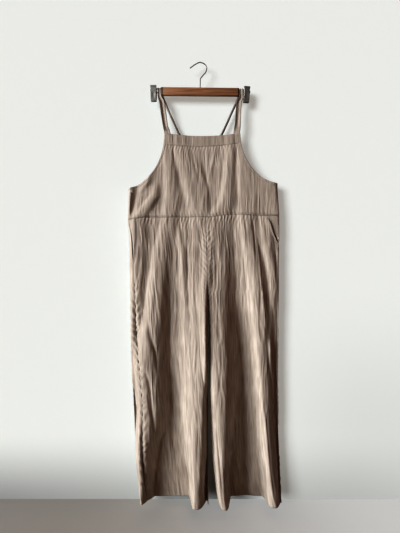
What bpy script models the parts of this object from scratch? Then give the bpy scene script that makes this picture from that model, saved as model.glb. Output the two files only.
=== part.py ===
"""Dungarees hung by their straps on a wooden clip hanger.

Metres, +Z up. The garment's front faces -Y, and its left here means -X, the left as one looks at it.
The origin is the inner crest of the hanger's hook, where a peg or rail carries everything.
Every panel is a wall of one cloth thickness, laid on tubes whose front and back follow the folds.
"""
import bpy
import math
import numpy as np
from mathutils import Vector

for old in list(bpy.data.objects):
    bpy.data.objects.remove(old, do_unlink=True)

# ---- driving dimensions ---------------------------------------------------------------------
CLOTH = 0.0012            # thickness of one layer of the crinkled linen
SEAM = 0.0003             # clearance left along every seam
BAND_THICK = 0.0018       # the bib's band, cloth turned over
STRAP_THICK = 0.0020      # the strap is cloth folded over itself
STRAP_STEP = 0.0260       # between cross sections of a strap
POCKET_LAYER = 0.0010     # thinner cloth of the pocket's two hidden layers
BINDING = 0.0070          # visible width of the armhole binding
SIDE_ROUND = 0.020        # how wide the side of the hanging tube rounds over
INSEAM_ROUND = 0.015      # the same at the inside of each leg

BIB_TOP = -0.246          # height of the bib's top corners
BAND_TALL = 0.037         # height of the turned band along the bib's top
BIB_DIP = 0.010           # how far the bib's top sags between its straps
BACK_TOP = -0.280         # height of the back's top edge
CREST_FULL = 1.5          # above 1, a fold's crest is fuller and its flanks are steeper
END_CROWDING = 0.5        # how much closer a panel's columns stand at its rounded edges
CROTCH_TOP = -0.690       # where the centre seams start to turn under
CROTCH = -0.770           # where the four legs' seams meet
HEM = -1.496

# Bib corner and back corner on each side, and the height of the underarm.
ARMHOLES = {
    # side:   bib corner x, back corner x, underarm z
    "left": (-0.1224, -0.0650, -0.4350),
    "right": (0.1380, 0.0650, -0.4180),
}

# Sides of the hanging garment: height, x, y.
LEFT_SIDE = (
    (-0.24, -0.2450, 0.004), (-0.44, -0.2455, 0.004), (-0.54, -0.2480, 0.004),
    (-0.61, -0.2385, 0.003), (-0.78, -0.2360, 0.001), (-0.99, -0.2325, -0.004),
    (-1.16, -0.2250, -0.012), (-1.33, -0.2170, -0.024), (-1.44, -0.2070, -0.036), (-1.50, -0.1985, -0.043),
)
RIGHT_SIDE = (
    (-0.24, 0.2645, 0.004), (-0.42, 0.2645, 0.004), (-0.54, 0.2690, 0.004),
    (-0.82, 0.2665, 0.002), (-0.99, 0.2655, -0.001), (-1.23, 0.2650, -0.009),
    (-1.33, 0.2680, -0.017), (-1.44, 0.2710, -0.029), (-1.50, 0.2735, -0.037),
)
# Centre seam above the crotch, then the inside edge of each leg: height, x, y.
CENTRE = ((-0.50, 0.0190, 0.002), (-0.65, 0.0240, 0.002), (-0.77, 0.0265, 0.002))
LEFT_INSIDE = (
    (-0.77, 0.0262, 0.002), (-0.80, 0.0255, 0.000), (-0.88, 0.0270, -0.006), (-0.99, 0.0280, -0.014),
    (-1.16, 0.0277, -0.022), (-1.33, 0.0275, -0.032), (-1.50, 0.0280, -0.045),
)
RIGHT_INSIDE = (
    (-0.77, 0.0268, 0.002), (-0.80, 0.0295, 0.000), (-0.88, 0.0340, -0.005), (-0.99, 0.0350, -0.011),
    (-1.16, 0.0325, -0.016), (-1.33, 0.0415, -0.028), (-1.44, 0.0530, -0.036), (-1.50, 0.0645, -0.041),
)
# Depth of the cloth between its folds: height, y.
FRONT_FLOOR = (
    (-0.24, -0.010), (-0.33, -0.016), (-0.53, -0.020), (-0.77, -0.016), (-1.00, -0.008), (-1.33, 0.000),
    (-1.50, 0.005),
)
BACK_FLOOR = ((-0.27, 0.012), (-0.43, 0.017), (-0.53, 0.020), (-0.77, 0.024), (-1.50, 0.025))

# Folds. Each row: height, x of the crest, width of its left flank, of its right flank, rise.
FRONT_FOLDS = {
    "from the left strap down the outer leg": (
        (-0.28, -0.108, 0.025, 0.020, 0.001), (-0.32, -0.108, 0.025, 0.020, 0.006),
        (-0.385, -0.110, 0.035, 0.026, 0.009), (-0.53, -0.110, 0.040, 0.036, 0.010),
        (-0.60, -0.129, 0.045, 0.032, 0.013), (-0.78, -0.150, 0.085, 0.054, 0.026),
        (-0.99, -0.160, 0.110, 0.064, 0.034), (-1.16, -0.170, 0.090, 0.072, 0.039),
        (-1.33, -0.188, 0.065, 0.078, 0.047), (-1.50, -0.196, 0.040, 0.058, 0.058),
    ),
    "across the bib to the waist": (
        (-0.28, -0.078, 0.018, 0.040, 0.003), (-0.32, -0.074, 0.022, 0.055, 0.008),
        (-0.385, -0.051, 0.034, 0.070, 0.010), (-0.455, -0.032, 0.040, 0.080, 0.010),
        (-0.53, -0.003, 0.060, 0.060, 0.008), (-0.60, 0.010, 0.060, 0.060, 0.004),
        (-0.68, 0.020, 0.060, 0.060, 0.000),
    ),
    "down the inside of the left leg": (
        (-0.50, -0.076, 0.035, 0.035, 0.000), (-0.61, -0.067, 0.036, 0.050, 0.012),
        (-0.78, -0.047, 0.050, 0.075, 0.025), (-0.99, -0.022, 0.075, 0.075, 0.040),
        (-1.16, -0.010, 0.085, 0.080, 0.051), (-1.33, -0.005, 0.085, 0.070, 0.064),
        (-1.44, -0.008, 0.060, 0.070, 0.076), (-1.50, -0.010, 0.032, 0.080, 0.086),
    ),
    "from the right of the bib down the inside of the right leg": (
        (-0.28, 0.104, 0.040, 0.018, 0.002), (-0.32, 0.099, 0.045, 0.020, 0.008),
        (-0.385, 0.089, 0.060, 0.030, 0.010), (-0.455, 0.082, 0.062, 0.034, 0.011),
        (-0.53, 0.065, 0.055, 0.050, 0.011), (-0.61, 0.057, 0.070, 0.054, 0.012),
        (-0.78, 0.064, 0.080, 0.060, 0.021), (-0.99, 0.073, 0.065, 0.083, 0.036),
        (-1.16, 0.074, 0.055, 0.088, 0.045), (-1.33, 0.073, 0.045, 0.078, 0.062),
        (-1.44, 0.077, 0.040, 0.054, 0.078), (-1.50, 0.084, 0.036, 0.032, 0.090),
    ),
    "from the right strap down the outer leg": (
        (-0.28, 0.133, 0.022, 0.033, 0.001), (-0.32, 0.137, 0.024, 0.036, 0.006),
        (-0.385, 0.137, 0.024, 0.050, 0.009), (-0.53, 0.140, 0.030, 0.045, 0.011),
        (-0.61, 0.155, 0.040, 0.034, 0.015), (-0.78, 0.177, 0.048, 0.038, 0.026),
        (-0.99, 0.193, 0.046, 0.070, 0.037), (-1.16, 0.206, 0.052, 0.080, 0.044),
        (-1.33, 0.218, 0.062, 0.090, 0.056), (-1.50, 0.242, 0.032, 0.080, 0.070),
    ),
    "under the left arm": (
        (-0.40, -0.158, 0.020, 0.025, 0.000), (-0.44, -0.166, 0.022, 0.030, 0.009),
        (-0.49, -0.196, 0.025, 0.034, 0.010), (-0.54, -0.222, 0.025, 0.036, 0.008),
        (-0.62, -0.208, 0.035, 0.036, 0.008), (-0.74, -0.196, 0.040, 0.040, 0.000),
    ),
    "over the right hip": (
        (-0.50, 0.215, 0.025, 0.030, 0.000), (-0.61, 0.218, 0.025, 0.030, 0.006),
        (-0.78, 0.240, 0.026, 0.030, 0.013), (-0.90, 0.245, 0.026, 0.030, 0.000),
    ),
}
BACK_FOLDS = {
    "left edge curling forward": (
        (-0.80, -0.235, 0.030, 0.040, 0.000), (-0.99, -0.226, 0.030, 0.050, -0.009),
        (-1.16, -0.219, 0.030, 0.055, -0.020), (-1.33, -0.211, 0.030, 0.060, -0.033),
        (-1.50, -0.194, 0.040, 0.056, -0.050),
    ),
    "right edge curling forward": (
        (-0.80, 0.266, 0.040, 0.030, 0.000), (-1.16, 0.262, 0.050, 0.030, -0.012),
        (-1.33, 0.264, 0.052, 0.030, -0.024), (-1.50, 0.270, 0.050, 0.030, -0.040),
    ),
    "left shoulder blade": (
        (-0.28, -0.052, 0.030, 0.040, 0.002), (-0.40, -0.078, 0.050, 0.050, 0.006),
        (-0.53, -0.100, 0.055, 0.050, 0.007), (-0.78, -0.128, 0.050, 0.050, 0.010),
        (-1.16, -0.132, 0.045, 0.050, 0.011), (-1.50, -0.118, 0.045, 0.045, 0.012),
    ),
    "left seat": (
        (-0.45, -0.010, 0.045, 0.045, 0.000), (-0.62, -0.026, 0.050, 0.045, 0.008),
        (-0.99, -0.038, 0.050, 0.045, 0.010), (-1.50, -0.028, 0.045, 0.050, 0.009),
    ),
    "right seat": (
        (-0.42, 0.070, 0.045, 0.045, 0.002), (-0.58, 0.082, 0.050, 0.050, 0.008),
        (-0.92, 0.098, 0.050, 0.050, 0.011), (-1.50, 0.126, 0.050, 0.050, 0.010),
    ),
    "right hip": (
        (-0.50, 0.175, 0.045, 0.045, 0.002), (-0.74, 0.186, 0.050, 0.040, 0.009),
        (-1.10, 0.190, 0.045, 0.045, 0.010), (-1.50, 0.204, 0.045, 0.040, 0.006),
    ),
}

# Waist seam: x, height. It rises a little over the right leg's fold.
WAIST = (
    (-0.25, -0.5430), (-0.17, -0.5350), (-0.05, -0.5340), (0.03, -0.5325), (0.10, -0.5220), (0.14, -0.5170),
    (0.185, -0.5250), (0.27, -0.5270),
)
# Trouser side seams: height, how far the left one lies in front of the side and the right one behind it.
SEAM_TURN = ((-0.53, 0.000), (-0.61, 0.012), (-0.78, 0.014), (-1.44, 0.016), (-1.50, 0.012))
# Pocket mouth: height, cloth between it and the side seam.
MOUTH = ((-0.51, 0.0450), (-0.60, 0.0290), (-0.66, 0.0120), (-0.685, 0.0030))
ROW_STEPS = 160           # steps in which the length of a row is measured
FRONT_COLUMNS = 13        # facets across one leg's front, and across its back
BACK_COLUMNS = 11
HIP_SPACING = np.array([0.0, 0.5, 1.0])            # of the strip outside the pocket mouth
POCKET_DEEP = 7           # rows of the trouser front that the pocket bag reaches
POCKET_WIDE = 6           # columns of it
POCKET_EASE = 0.0008      # how much farther in it lies where its edge leaves the side seam
TROUSER_HEIGHTS = (
    -0.570, -0.610, -0.650, -0.685, -0.720, -0.745, -0.760, -0.770, -0.795, -0.840, -0.900, -0.970, -1.040,
    -1.110, -1.180, -1.250, -1.320, -1.385, -1.445, HEM,
)
ARM_ANGLES = (15, 29, 42, 54, 65, 75, 83, 87, 90)  # rows of the bodice down the armholes, in degrees
BELOW_BAND = 6            # degrees from the band seam to the first row below it, at least
UNDER_ARM_ROWS = 2        # rows between the armholes and the waist seam

# ---- the hanger ------------------------------------------------------------------------------
TILT = math.radians(0.7)          # the bar hangs a little low on the right
BAR_LONG = 0.265
BAR_TALL = 0.0290
BAR_THICK = 0.0130
BAR_ROUND = 0.0040
BAR_MIDDLE = (0.0015, -0.1005)    # x, z
HOOK_WIRE = 0.0036
HOOK_POINTS = 30                  # along its centre line
# Hook route from the bar to its tip: x, z.
HOOK = (
    (0.0015, BAR_MIDDLE[1] + BAR_TALL / 2 + SEAM), (0.0015, -0.0700), (0.0020, -0.0570), (0.0100, -0.0430),
    (0.0205, -0.0310), (0.0235, -0.0180), (0.0170, -0.0050), (0.0000, HOOK_WIRE / 2), (-0.0150, -0.0048),
    (-0.0345, -0.0190),
)
BAIL_WIRE = 0.0030
BAIL_MIDDLE = -0.0985             # height between the two wires of a bail
BAIL_APART = 0.0130
BAIL_REACH = 0.1735               # from the bar's middle to the bail's closed end
CLIP_OUT = 0.1595                 # from the bar's middle to a clip's middle
CLIP_WIDE = 0.0195
# One jaw from its thumb tab to its lip: distance in front of the bar's plane, height from the bail.
JAW = (
    (0.0125, 0.0205), (0.0095, 0.0120), (0.0085, 0.0000), (0.0072, -0.0110), (0.0034, -0.0330),
    (0.0044, -0.0365),
)
JAW_SHEET = 0.0010
JAW_EAR = (0.0060, -0.0090)       # top and bottom of the ears that clasp the bail, from its middle
SPRING = 0.0026                   # radius of the spring about the clip's pivot
PAD_TALL = 0.0080
PAD_WIDE = 0.0165

# Straps. A band curls lengthwise where nothing spreads it. Each row: x, y, z of its middle, the width it
# shows and how deep its two edges curl outward. A row without y lies flat on the inside of the cloth.
STRAP_OVER = 0.0125               # width it shows where it hangs over the bail
STRAP_CURL = 0.0088
STRAPS = {
    # side: where it crosses the bail, the rows from the bib up to it, the rows from it down to the back
    "left": (
        -0.1395,
        ((-0.1100, None, -0.2800, 0.0220, 0.0000), (-0.1105, None, -0.2600, 0.0220, 0.0000),
         (-0.1125, None, -0.2410, 0.0200, 0.0000), (-0.1180, -0.0115, -0.2220, 0.0170, 0.0060),
         (-0.1215, -0.0095, -0.2000, 0.0165, 0.0080), (-0.1260, -0.0075, -0.1700, 0.0170, 0.0080),
         (-0.1310, -0.0055, -0.1380, 0.0180, 0.0072), (-0.1385, -0.0032, -0.1160, 0.0135, 0.0085)),
        ((-0.1350, 0.0092, -0.1060, 0.0120, 0.0090), (-0.1250, 0.0115, -0.1250, 0.0085, 0.0100),
         (-0.1000, 0.0115, -0.1800, 0.0075, 0.0105), (-0.0760, 0.0105, -0.2350, 0.0080, 0.0100),
         (-0.0640, 0.0090, -0.2600, 0.0160, 0.0040), (-0.0580, None, -0.2760, 0.0210, 0.0000),
         (-0.0540, None, -0.2920, 0.0220, 0.0000), (-0.0530, None, -0.3100, 0.0220, 0.0000)),
    ),
    "right": (
        0.1425,
        ((0.1255, None, -0.2800, 0.0220, 0.0000), (0.1255, None, -0.2600, 0.0220, 0.0000),
         (0.1262, None, -0.2410, 0.0220, 0.0000), (0.1285, -0.0115, -0.2200, 0.0205, 0.0050),
         (0.1300, -0.0095, -0.2000, 0.0190, 0.0065), (0.1315, -0.0075, -0.1700, 0.0180, 0.0072),
         (0.1335, -0.0055, -0.1400, 0.0165, 0.0078), (0.1415, -0.0032, -0.1200, 0.0135, 0.0085)),
        ((0.1385, 0.0092, -0.1090, 0.0120, 0.0090), (0.1270, 0.0115, -0.1290, 0.0095, 0.0098),
         (0.1015, 0.0115, -0.1850, 0.0090, 0.0100), (0.0785, 0.0105, -0.2350, 0.0090, 0.0098),
         (0.0660, 0.0090, -0.2600, 0.0160, 0.0040), (0.0590, None, -0.2760, 0.0210, 0.0000),
         (0.0545, None, -0.2920, 0.0220, 0.0000), (0.0530, None, -0.3100, 0.0220, 0.0000)),
    ),
}


# ---- reading the tables ------------------------------------------------------------------------
def along(rows, height):
    """Columns of a table at some heights, read off a smooth monotone curve through its rows."""
    table = np.array(rows, dtype=float)
    order = np.argsort(table[:, 0])
    at, values = table[order, 0], table[order, 1:]
    step = np.diff(at)[:, None]
    slope = np.diff(values, axis=0) / step
    tangent = np.zeros_like(values)
    same_way = slope[:-1] * slope[1:] > 0
    bottom = np.where(same_way, slope[:-1] + slope[1:], 1.0)
    tangent[1:-1] = np.where(same_way, 2 * slope[:-1] * slope[1:] / bottom, 0.0)
    tangent[0], tangent[-1] = slope[0], slope[-1]
    height = np.clip(np.asarray(height, dtype=float), at[0], at[-1])
    k = np.clip(np.searchsorted(at, height, side="right") - 1, 0, len(at) - 2)
    t = ((height - at[k]) / step[k, 0])[..., None]
    read = ((2 * t**3 - 3 * t**2 + 1) * values[k] + (t**3 - 2 * t**2 + t) * tangent[k] * step[k]
            + (3 * t**2 - 2 * t**3) * values[k + 1] + (t**3 - t**2) * tangent[k + 1] * step[k])
    return np.moveaxis(read, -1, 0)


def folded(floor, folds, x, z, forward):
    """Depth of a cloth surface: its floor, with each fold as a rounded ridge toward forward (-1) or back."""
    depth = along(floor, z)[0]
    for rows in folds.values():
        crest, left, right, rise = along(rows, z)
        flank = np.where(x < crest, left, right)
        reach = np.clip(np.abs(x - crest) / flank, 0, 1) ** CREST_FULL
        depth = depth + forward * rise * (0.5 + 0.5 * np.cos(math.pi * reach))
    return depth


def front_depth(x, z):
    return folded(FRONT_FLOOR, FRONT_FOLDS, x, z, -1)


def back_depth(x, z):
    return folded(BACK_FLOOR, BACK_FOLDS, x, z, 1)


# ---- tubes of cloth ----------------------------------------------------------------------------
def crotch_turn(z):
    """Angle at which the inside edge starts: a quarter turn above the crotch curve, none below it."""
    drop = np.clip((CROTCH_TOP - z) / (CROTCH_TOP - CROTCH), 0, 1)
    return np.arcsin(np.sqrt(1 - drop**2))


def no_turn(z):
    return np.zeros_like(z)


def inside_edge(rows, way):
    """Inside edge of one leg, which above the crotch is its half of the centre seam."""
    def edge(z):
        clear = SEAM / 2 + CLOTH / 2 * np.cos(crotch_turn(z))
        middle, level = along(CENTRE, z)
        x, y = along(rows, z)
        above = z > CROTCH
        return np.where(above, middle + way * clear, x + way * clear), np.where(above, level, y)
    return edge


TUBES = {
    # tube:  left edge, right edge, their rounding, the angle at which each rounding starts
    "body": (lambda z: along(LEFT_SIDE, z), lambda z: along(RIGHT_SIDE, z),
             SIDE_ROUND, SIDE_ROUND, no_turn, no_turn),
    "left": (lambda z: along(LEFT_SIDE, z), inside_edge(LEFT_INSIDE, -1),
             SIDE_ROUND, INSEAM_ROUND, no_turn, crotch_turn),
    "right": (inside_edge(RIGHT_INSIDE, 1), lambda z: along(RIGHT_SIDE, z),
              INSEAM_ROUND, SIDE_ROUND, crotch_turn, no_turn),
}


def tube_lengths(tube, z):
    """Cloth across one face of a tube: over its left rounding, straight across, over its right one."""
    left, right, round_left, round_right, turn_left, turn_right = TUBES[tube]
    start, stop = turn_left(z), turn_right(z)
    flat = right(z)[0] - left(z)[0] - round_left * np.cos(start) - round_right * np.cos(stop)
    return round_left * (math.pi / 2 - start), flat, round_right * (math.pi / 2 - stop)


def tube_points(tube, s, z):
    """Points of a tube. s runs 0 to 1 over the front from left to right, and on to 2 over the back."""
    left, right, round_left, round_right, turn_left, turn_right = TUBES[tube]
    s, z = np.broadcast_arrays(np.asarray(s, dtype=float), np.asarray(z, dtype=float))
    s = np.mod(s, 2)
    on_front = s <= 1
    q = np.where(on_front, s, 2 - s)
    (x_left, y_left), (x_right, y_right) = left(z), right(z)
    over_left, flat, over_right = tube_lengths(tube, z)
    gone = q * (over_left + flat + over_right)
    to_go = (1 - q) * (over_left + flat + over_right)
    start, stop = turn_left(z), turn_right(z)
    angle_left = np.minimum(start + gone / round_left, math.pi / 2)
    angle_right = np.minimum(stop + to_go / round_right, math.pi / 2)
    x = x_left + round_left * np.cos(start) + gone - over_left
    x = np.where(gone < over_left, x_left + round_left * (np.cos(start) - np.cos(angle_left)), x)
    x = np.where(to_go < over_right, x_right - round_right * (np.cos(stop) - np.cos(angle_right)), x)
    edge = np.where(gone < to_go, y_left, y_right)
    cap = np.sin(np.where(gone < to_go, angle_left, angle_right))
    face = np.where(on_front, front_depth(x, z), back_depth(x, z))
    return np.stack([x, edge + (face - edge) * cap, z], axis=-1)


def share(tube, cloth, z):
    """A length of cloth as a share of one face of the tube."""
    return cloth / sum(tube_lengths(tube, np.asarray(z, dtype=float)))


def tube_normals(tube, s, z):
    """Unit normals at points of a tube, facing out of it. They stay on the face that each point is on."""
    step = 1e-4
    face = np.floor(np.mod(s, 2) - 1e-9) + 2 * np.floor(np.asarray(s) / 2)
    before, after = np.maximum(s - step, face), np.minimum(s + step, face + 1)
    across = tube_points(tube, after, z) - tube_points(tube, before, z)
    down = tube_points(tube, s, z - step) - tube_points(tube, s, z + step)
    normal = np.cross(down, across)
    return normal / np.linalg.norm(normal, axis=-1, keepdims=True)


# ---- rows and walls ----------------------------------------------------------------------------
def crowded(columns):
    """Places of a row's points along the cloth, 0 to 1, closer together toward both ends."""
    even = np.linspace(0, 1, columns + 1)
    return even - END_CROWDING * np.sin(2 * math.pi * even) / (2 * math.pi)


def lay_row(tube, start, stop, spaced, dip=0.0, level=None):
    """Points with their normals, spaced as given along the cloth from (s, z) to (s, z).

    The line between the two dips in the middle, or follows level(x).
    """
    t = np.linspace(0, 1, ROW_STEPS + 1)
    s = start[0] + (stop[0] - start[0]) * t
    z = start[1] + (stop[1] - start[1]) * t - dip * 4 * t * (1 - t)
    if level:
        z = level(tube_points(tube, s, z)[:, 0])
    points = tube_points(tube, s, z)
    run = np.concatenate([[0], np.cumsum(np.linalg.norm(np.diff(points, axis=0), axis=1))])
    at = np.interp(spaced * run[-1], run, t)
    s, z = np.interp(at, t, s), np.interp(at, t, z)
    return np.concatenate([tube_points(tube, s, z), tube_normals(tube, s, z)], axis=-1)


def with_normals(points):
    """A grid of points with normals worked out from the grid itself."""
    normal = np.cross(np.gradient(points, axis=0), np.gradient(points, axis=1))
    normal /= np.linalg.norm(normal, axis=-1, keepdims=True)
    return np.concatenate([points, normal], axis=-1)


def moved(grid, distance):
    """The same grid, moved out along its normals (in, where the distance is negative)."""
    shift = grid[..., 3:] * np.asarray(distance)[..., None]
    return np.concatenate([grid[..., :3] + shift, grid[..., 3:]], axis=-1)


def material(name, colour, roughness, metallic=0.0):
    made = bpy.data.materials.get(name)
    if made is None:
        made = bpy.data.materials.new(name)
        made.use_nodes = True
        shader = made.node_tree.nodes["Principled BSDF"]
        shader.inputs["Base Color"].default_value = (*colour, 1)
        shader.inputs["Roughness"].default_value = roughness
        shader.inputs["Metallic"].default_value = metallic
    return made


def linen():
    return material("taupe linen", (0.335, 0.262, 0.205), 0.85)


def add_mesh(name, points, faces, finish, smooth=True):
    mesh = bpy.data.meshes.new(name)
    mesh.from_pydata([tuple(p) for p in points], [], faces)
    mesh.materials.append(finish)
    if smooth:
        mesh.shade_smooth()
    shape = bpy.data.objects.new(name, mesh)
    bpy.context.scene.collection.objects.link(shape)
    return shape


def add_wall(name, grid, thick=CLOTH):
    """A wall of cloth: a grid moved half its thickness out and in, closed round its rim.

    The grid's rows run down and its columns run so that down x across is the normal.
    """
    rows, columns = grid.shape[:2]
    faces_out = [moved(grid, np.array(side * thick / 2))[..., :3] for side in (1, -1)]
    points = np.stack(faces_out).reshape(-1, 3)
    inner = rows * columns
    faces = []
    for r in range(rows - 1):
        for c in range(columns - 1):
            corners = (r * columns + c, (r + 1) * columns + c, (r + 1) * columns + c + 1, r * columns + c + 1)
            faces.append(corners)
            faces.append(tuple(inner + corners[k] for k in (0, 3, 2, 1)))
    rim = [r * columns for r in range(rows)]
    rim += [(rows - 1) * columns + c for c in range(1, columns)]
    rim += [r * columns + columns - 1 for r in range(rows - 2, -1, -1)]
    rim += list(range(columns - 2, 0, -1))
    for one, other in zip(rim, rim[1:] + rim[:1]):
        faces.append((other, one, inner + one, inner + other))
    add_mesh(name, points, faces, linen())


# ---- the bodice --------------------------------------------------------------------------------
def arm_edge(side, angle, grow, back=False):
    """A point (s, z) on an armhole, a quarter ellipse on the cloth laid flat, or grow outside it."""
    bib_corner, back_corner, underarm = ARMHOLES[side]
    edge = along(LEFT_SIDE if side == "left" else RIGHT_SIDE, underarm)[0]
    corner, top = (back_corner, BACK_TOP) if back else (bib_corner, BIB_TOP)
    wide = abs(edge - corner) + (math.pi / 2 - 1) * SIDE_ROUND + grow
    tall = top - underarm + grow
    turn = math.radians(angle)
    z = top - tall * math.sin(turn)
    cloth = share("body", max(wide * math.cos(turn), SEAM / 2), z)
    if side == "left":
        return (2 - cloth if back else cloth), z
    return (1 + cloth if back else 1 - cloth), z


def arm_angles(back):
    """Angles of the rows down an armhole: the bib's begin with its band."""
    if back:
        return [0, *ARM_ANGLES]
    band = math.degrees(math.asin(BAND_TALL / (BIB_TOP - ARMHOLES["left"][2])))
    return [0, band] + [angle for angle in ARM_ANGLES if angle > band + BELOW_BAND]


def waist_points(back):
    """The trousers' upper edge right across, which the bodice's lower edge shares."""
    parts = [leg_rows(side, crowded(BACK_COLUMNS if back else FRONT_COLUMNS),
                      back_ends(side) if back else front_ends(side))[0] for side in ("left", "right")]
    if back:
        return np.concatenate([parts[1], parts[0][1:]])
    hips = [leg_rows(side, HIP_SPACING, hip_ends(side))[0] for side in ("left", "right")]
    return np.concatenate([hips[0][:2], parts[0], parts[1][1:], hips[1][1:]])


def bodice_rows(back):
    """Rows of the front or back bodice, from the band seam or the back's top edge to the waist seam.

    They end on the armholes and fan out between them, evenly down the middle of the panel.
    """
    waist = waist_points(back)
    spaced = row_spacing(waist)
    order = ("right", "left") if back else ("left", "right")
    ends = [[arm_edge(side, angle, BINDING + SEAM, back) for side in order]
            for angle in arm_angles(back)[0 if back else 1:]]
    bottom = waist[len(waist) // 2, 2]
    middle = ends[0][0][1]
    rows = []
    for number, (start, stop) in enumerate(ends):
        level = (start[1] + stop[1]) / 2
        rows_left = len(ends) + UNDER_ARM_ROWS + 1 - number
        even = middle - (middle - bottom) / rows_left if number else level
        middle = min(level - (0.0 if back else BIB_DIP), even)
        clear = 0.0 if back or number else SEAM
        rows.append(lay_row("body", (start[0], start[1] - clear), (stop[0], stop[1] - clear), spaced,
                            level - middle))
    across = rows[-1][::-1] if back else rows[-1]
    for number in range(1, UNDER_ARM_ROWS + 1):
        def level(x, part=number / (UNDER_ARM_ROWS + 1)):
            return (1 - part) * np.interp(x, across[:, 0], across[:, 2]) + part * along(WAIST, x)[0]
        rows.append(lay_row("body", *ends[-1], spaced, level=level))
    waist[:, 2] += SEAM
    return np.stack([*rows, waist])


def row_spacing(row):
    """Places of a row's points along itself, 0 to 1."""
    run = np.concatenate([[0], np.cumsum(np.linalg.norm(np.diff(row[:, :3], axis=0), axis=1))])
    return run / run[-1]


def add_bodice():
    front = bodice_rows(False)
    add_wall("bib_front", front)
    add_wall("back_bodice", bodice_rows(True))
    band_angle = arm_angles(False)[1]
    rows = []
    for angle in (0, band_angle / 2, band_angle):
        start, stop = (arm_edge(side, angle, BINDING + SEAM) for side in ("left", "right"))
        rows.append(lay_row("body", start, stop, row_spacing(front[0]), BIB_DIP))
    add_wall("bib_band", np.stack(rows), BAND_THICK)


def add_binding(side):
    """A strip along one armhole: down from the bib's corner, round under the arm, up to the back's corner."""
    route = [(angle, False) for angle in arm_angles(False)]
    route += [(angle, True) for angle in arm_angles(True)[-2::-1]]
    rows = []
    for angle, back in route:
        edges = [arm_edge(side, angle, grow, back) for grow in (0, BINDING)]
        rows.append([np.concatenate([tube_points("body", s, z), tube_normals("body", np.array(s), z)])
                     for s, z in edges])
    grid = np.array(rows)
    if side == "right":
        grid = grid[:, ::-1]
    add_wall("armhole_binding_" + side, grid)


# ---- the trousers ------------------------------------------------------------------------------
def side_seam(side, z):
    """The s of a trouser leg's side seam: turned to the front on the left, to the back on the right."""
    turn = share(side, along(SEAM_TURN, z)[0], z)
    return turn if side == "left" else 1 + turn


def leg_rows(side, spaced, ends):
    """Rows of a trouser panel from the waist seam to the hem; ends(z) gives the s of both its edges."""
    middle = np.mean([height for x, height in WAIST])
    waist = lay_row(side, *[(s, middle) for s in ends(middle)], spaced,
                    level=lambda x: along(WAIST, x)[0] - SEAM / 2)
    lower = [lay_row(side, *[(s, z) for s in ends(z)], spaced) for z in TROUSER_HEIGHTS]
    return np.stack([waist, *lower])


def front_ends(side):
    """Edges of a front panel: its side seam or the pocket mouth, and its centre seam or inseam."""
    def ends(z):
        seam = share(side, SEAM / 2, z)
        mouth = share(side, along(MOUTH, z)[0], z) if z >= MOUTH[-1][0] else seam
        if side == "left":
            return side_seam(side, z) + mouth, 1 - seam
        return seam, side_seam(side, z) - mouth
    return ends


def hip_ends(side):
    """Edges of the strip between the side seam and the pocket mouth."""
    def ends(z):
        seam = share(side, SEAM / 2, z)
        mouth = share(side, along(MOUTH, z)[0], z)
        if side == "left":
            return side_seam(side, z) + seam, side_seam(side, z) + mouth
        return side_seam(side, z) - mouth, side_seam(side, z) - seam
    return ends


def back_ends(side):
    def ends(z):
        seam = share(side, SEAM / 2, z)
        if side == "left":
            return 1 + seam, 2 + side_seam(side, z) - seam
        return side_seam(side, z) + seam, 2 - seam
    return ends


def add_pocket(side, front):
    """The pocket's facing, which shows outside the mouth, and the bag layer between it and the front.

    Both are made from the front panel's own points, moved in, so they follow its folds.
    """
    hip = leg_rows(side, HIP_SPACING, hip_ends(side))
    if side == "right":
        front, hip = front[:, ::-1], hip[:, ::-1]
    rows, mouth_rows = POCKET_DEEP + 1, sum(z >= MOUTH[-1][0] for z in TROUSER_HEIGHTS) + 1
    whole = np.concatenate([hip[:rows, :2], front[:rows, :POCKET_WIDE + 1]], axis=1)
    first, second = front[mouth_rows:rows, 0], front[mouth_rows:rows, 1]
    for column in range(3):
        whole[mouth_rows:, column] = first + (second - first) * column / 3
    depth = np.full(whole.shape[:2], CLOTH / 2 + POCKET_LAYER * 1.5 + 2 * SEAM)
    depth[:mouth_rows, 0] = 0
    depth[:mouth_rows, 1] /= 2
    depth[mouth_rows:, :3] += POCKET_EASE
    facing = moved(whole, -depth)
    bag = moved(whole[:, 2:], POCKET_LAYER + SEAM - depth[:, 2:])
    if side == "right":
        facing, bag = facing[:, ::-1], bag[:, ::-1]
    add_wall("pocket_facing_" + side, facing, POCKET_LAYER)
    add_wall("pocket_bag_" + side, bag, POCKET_LAYER)


def add_trousers():
    for side in ("left", "right"):
        front = leg_rows(side, crowded(FRONT_COLUMNS), front_ends(side))
        add_wall("trouser_front_" + side, front)
        add_pocket(side, front)
        add_wall("trouser_back_" + side, leg_rows(side, crowded(BACK_COLUMNS), back_ends(side)))


# ---- the straps --------------------------------------------------------------------------------
def tilted(x, z):
    """A point of the level hanger where the tilt about its hook puts it."""
    return x * math.cos(TILT) + z * math.sin(TILT), z * math.cos(TILT) - x * math.sin(TILT)


def strap_route(side):
    """All rows of a strap, with those over the bail's upper wire worked out from the wire."""
    over_x, up, down = STRAPS[side]
    wire_z = tilted(over_x, BAIL_MIDDLE + BAIL_APART / 2)[1]
    round_wire = BAIL_WIRE / 2 + SEAM + STRAP_THICK / 2
    over = []
    for turn in (-90, -45, 0, 45, 90):
        angle = math.radians(turn)
        over.append((over_x, round_wire * math.sin(angle), wire_z + round_wire * math.cos(angle),
                     STRAP_OVER, STRAP_CURL))
    return [*up, *over, *down]


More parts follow.
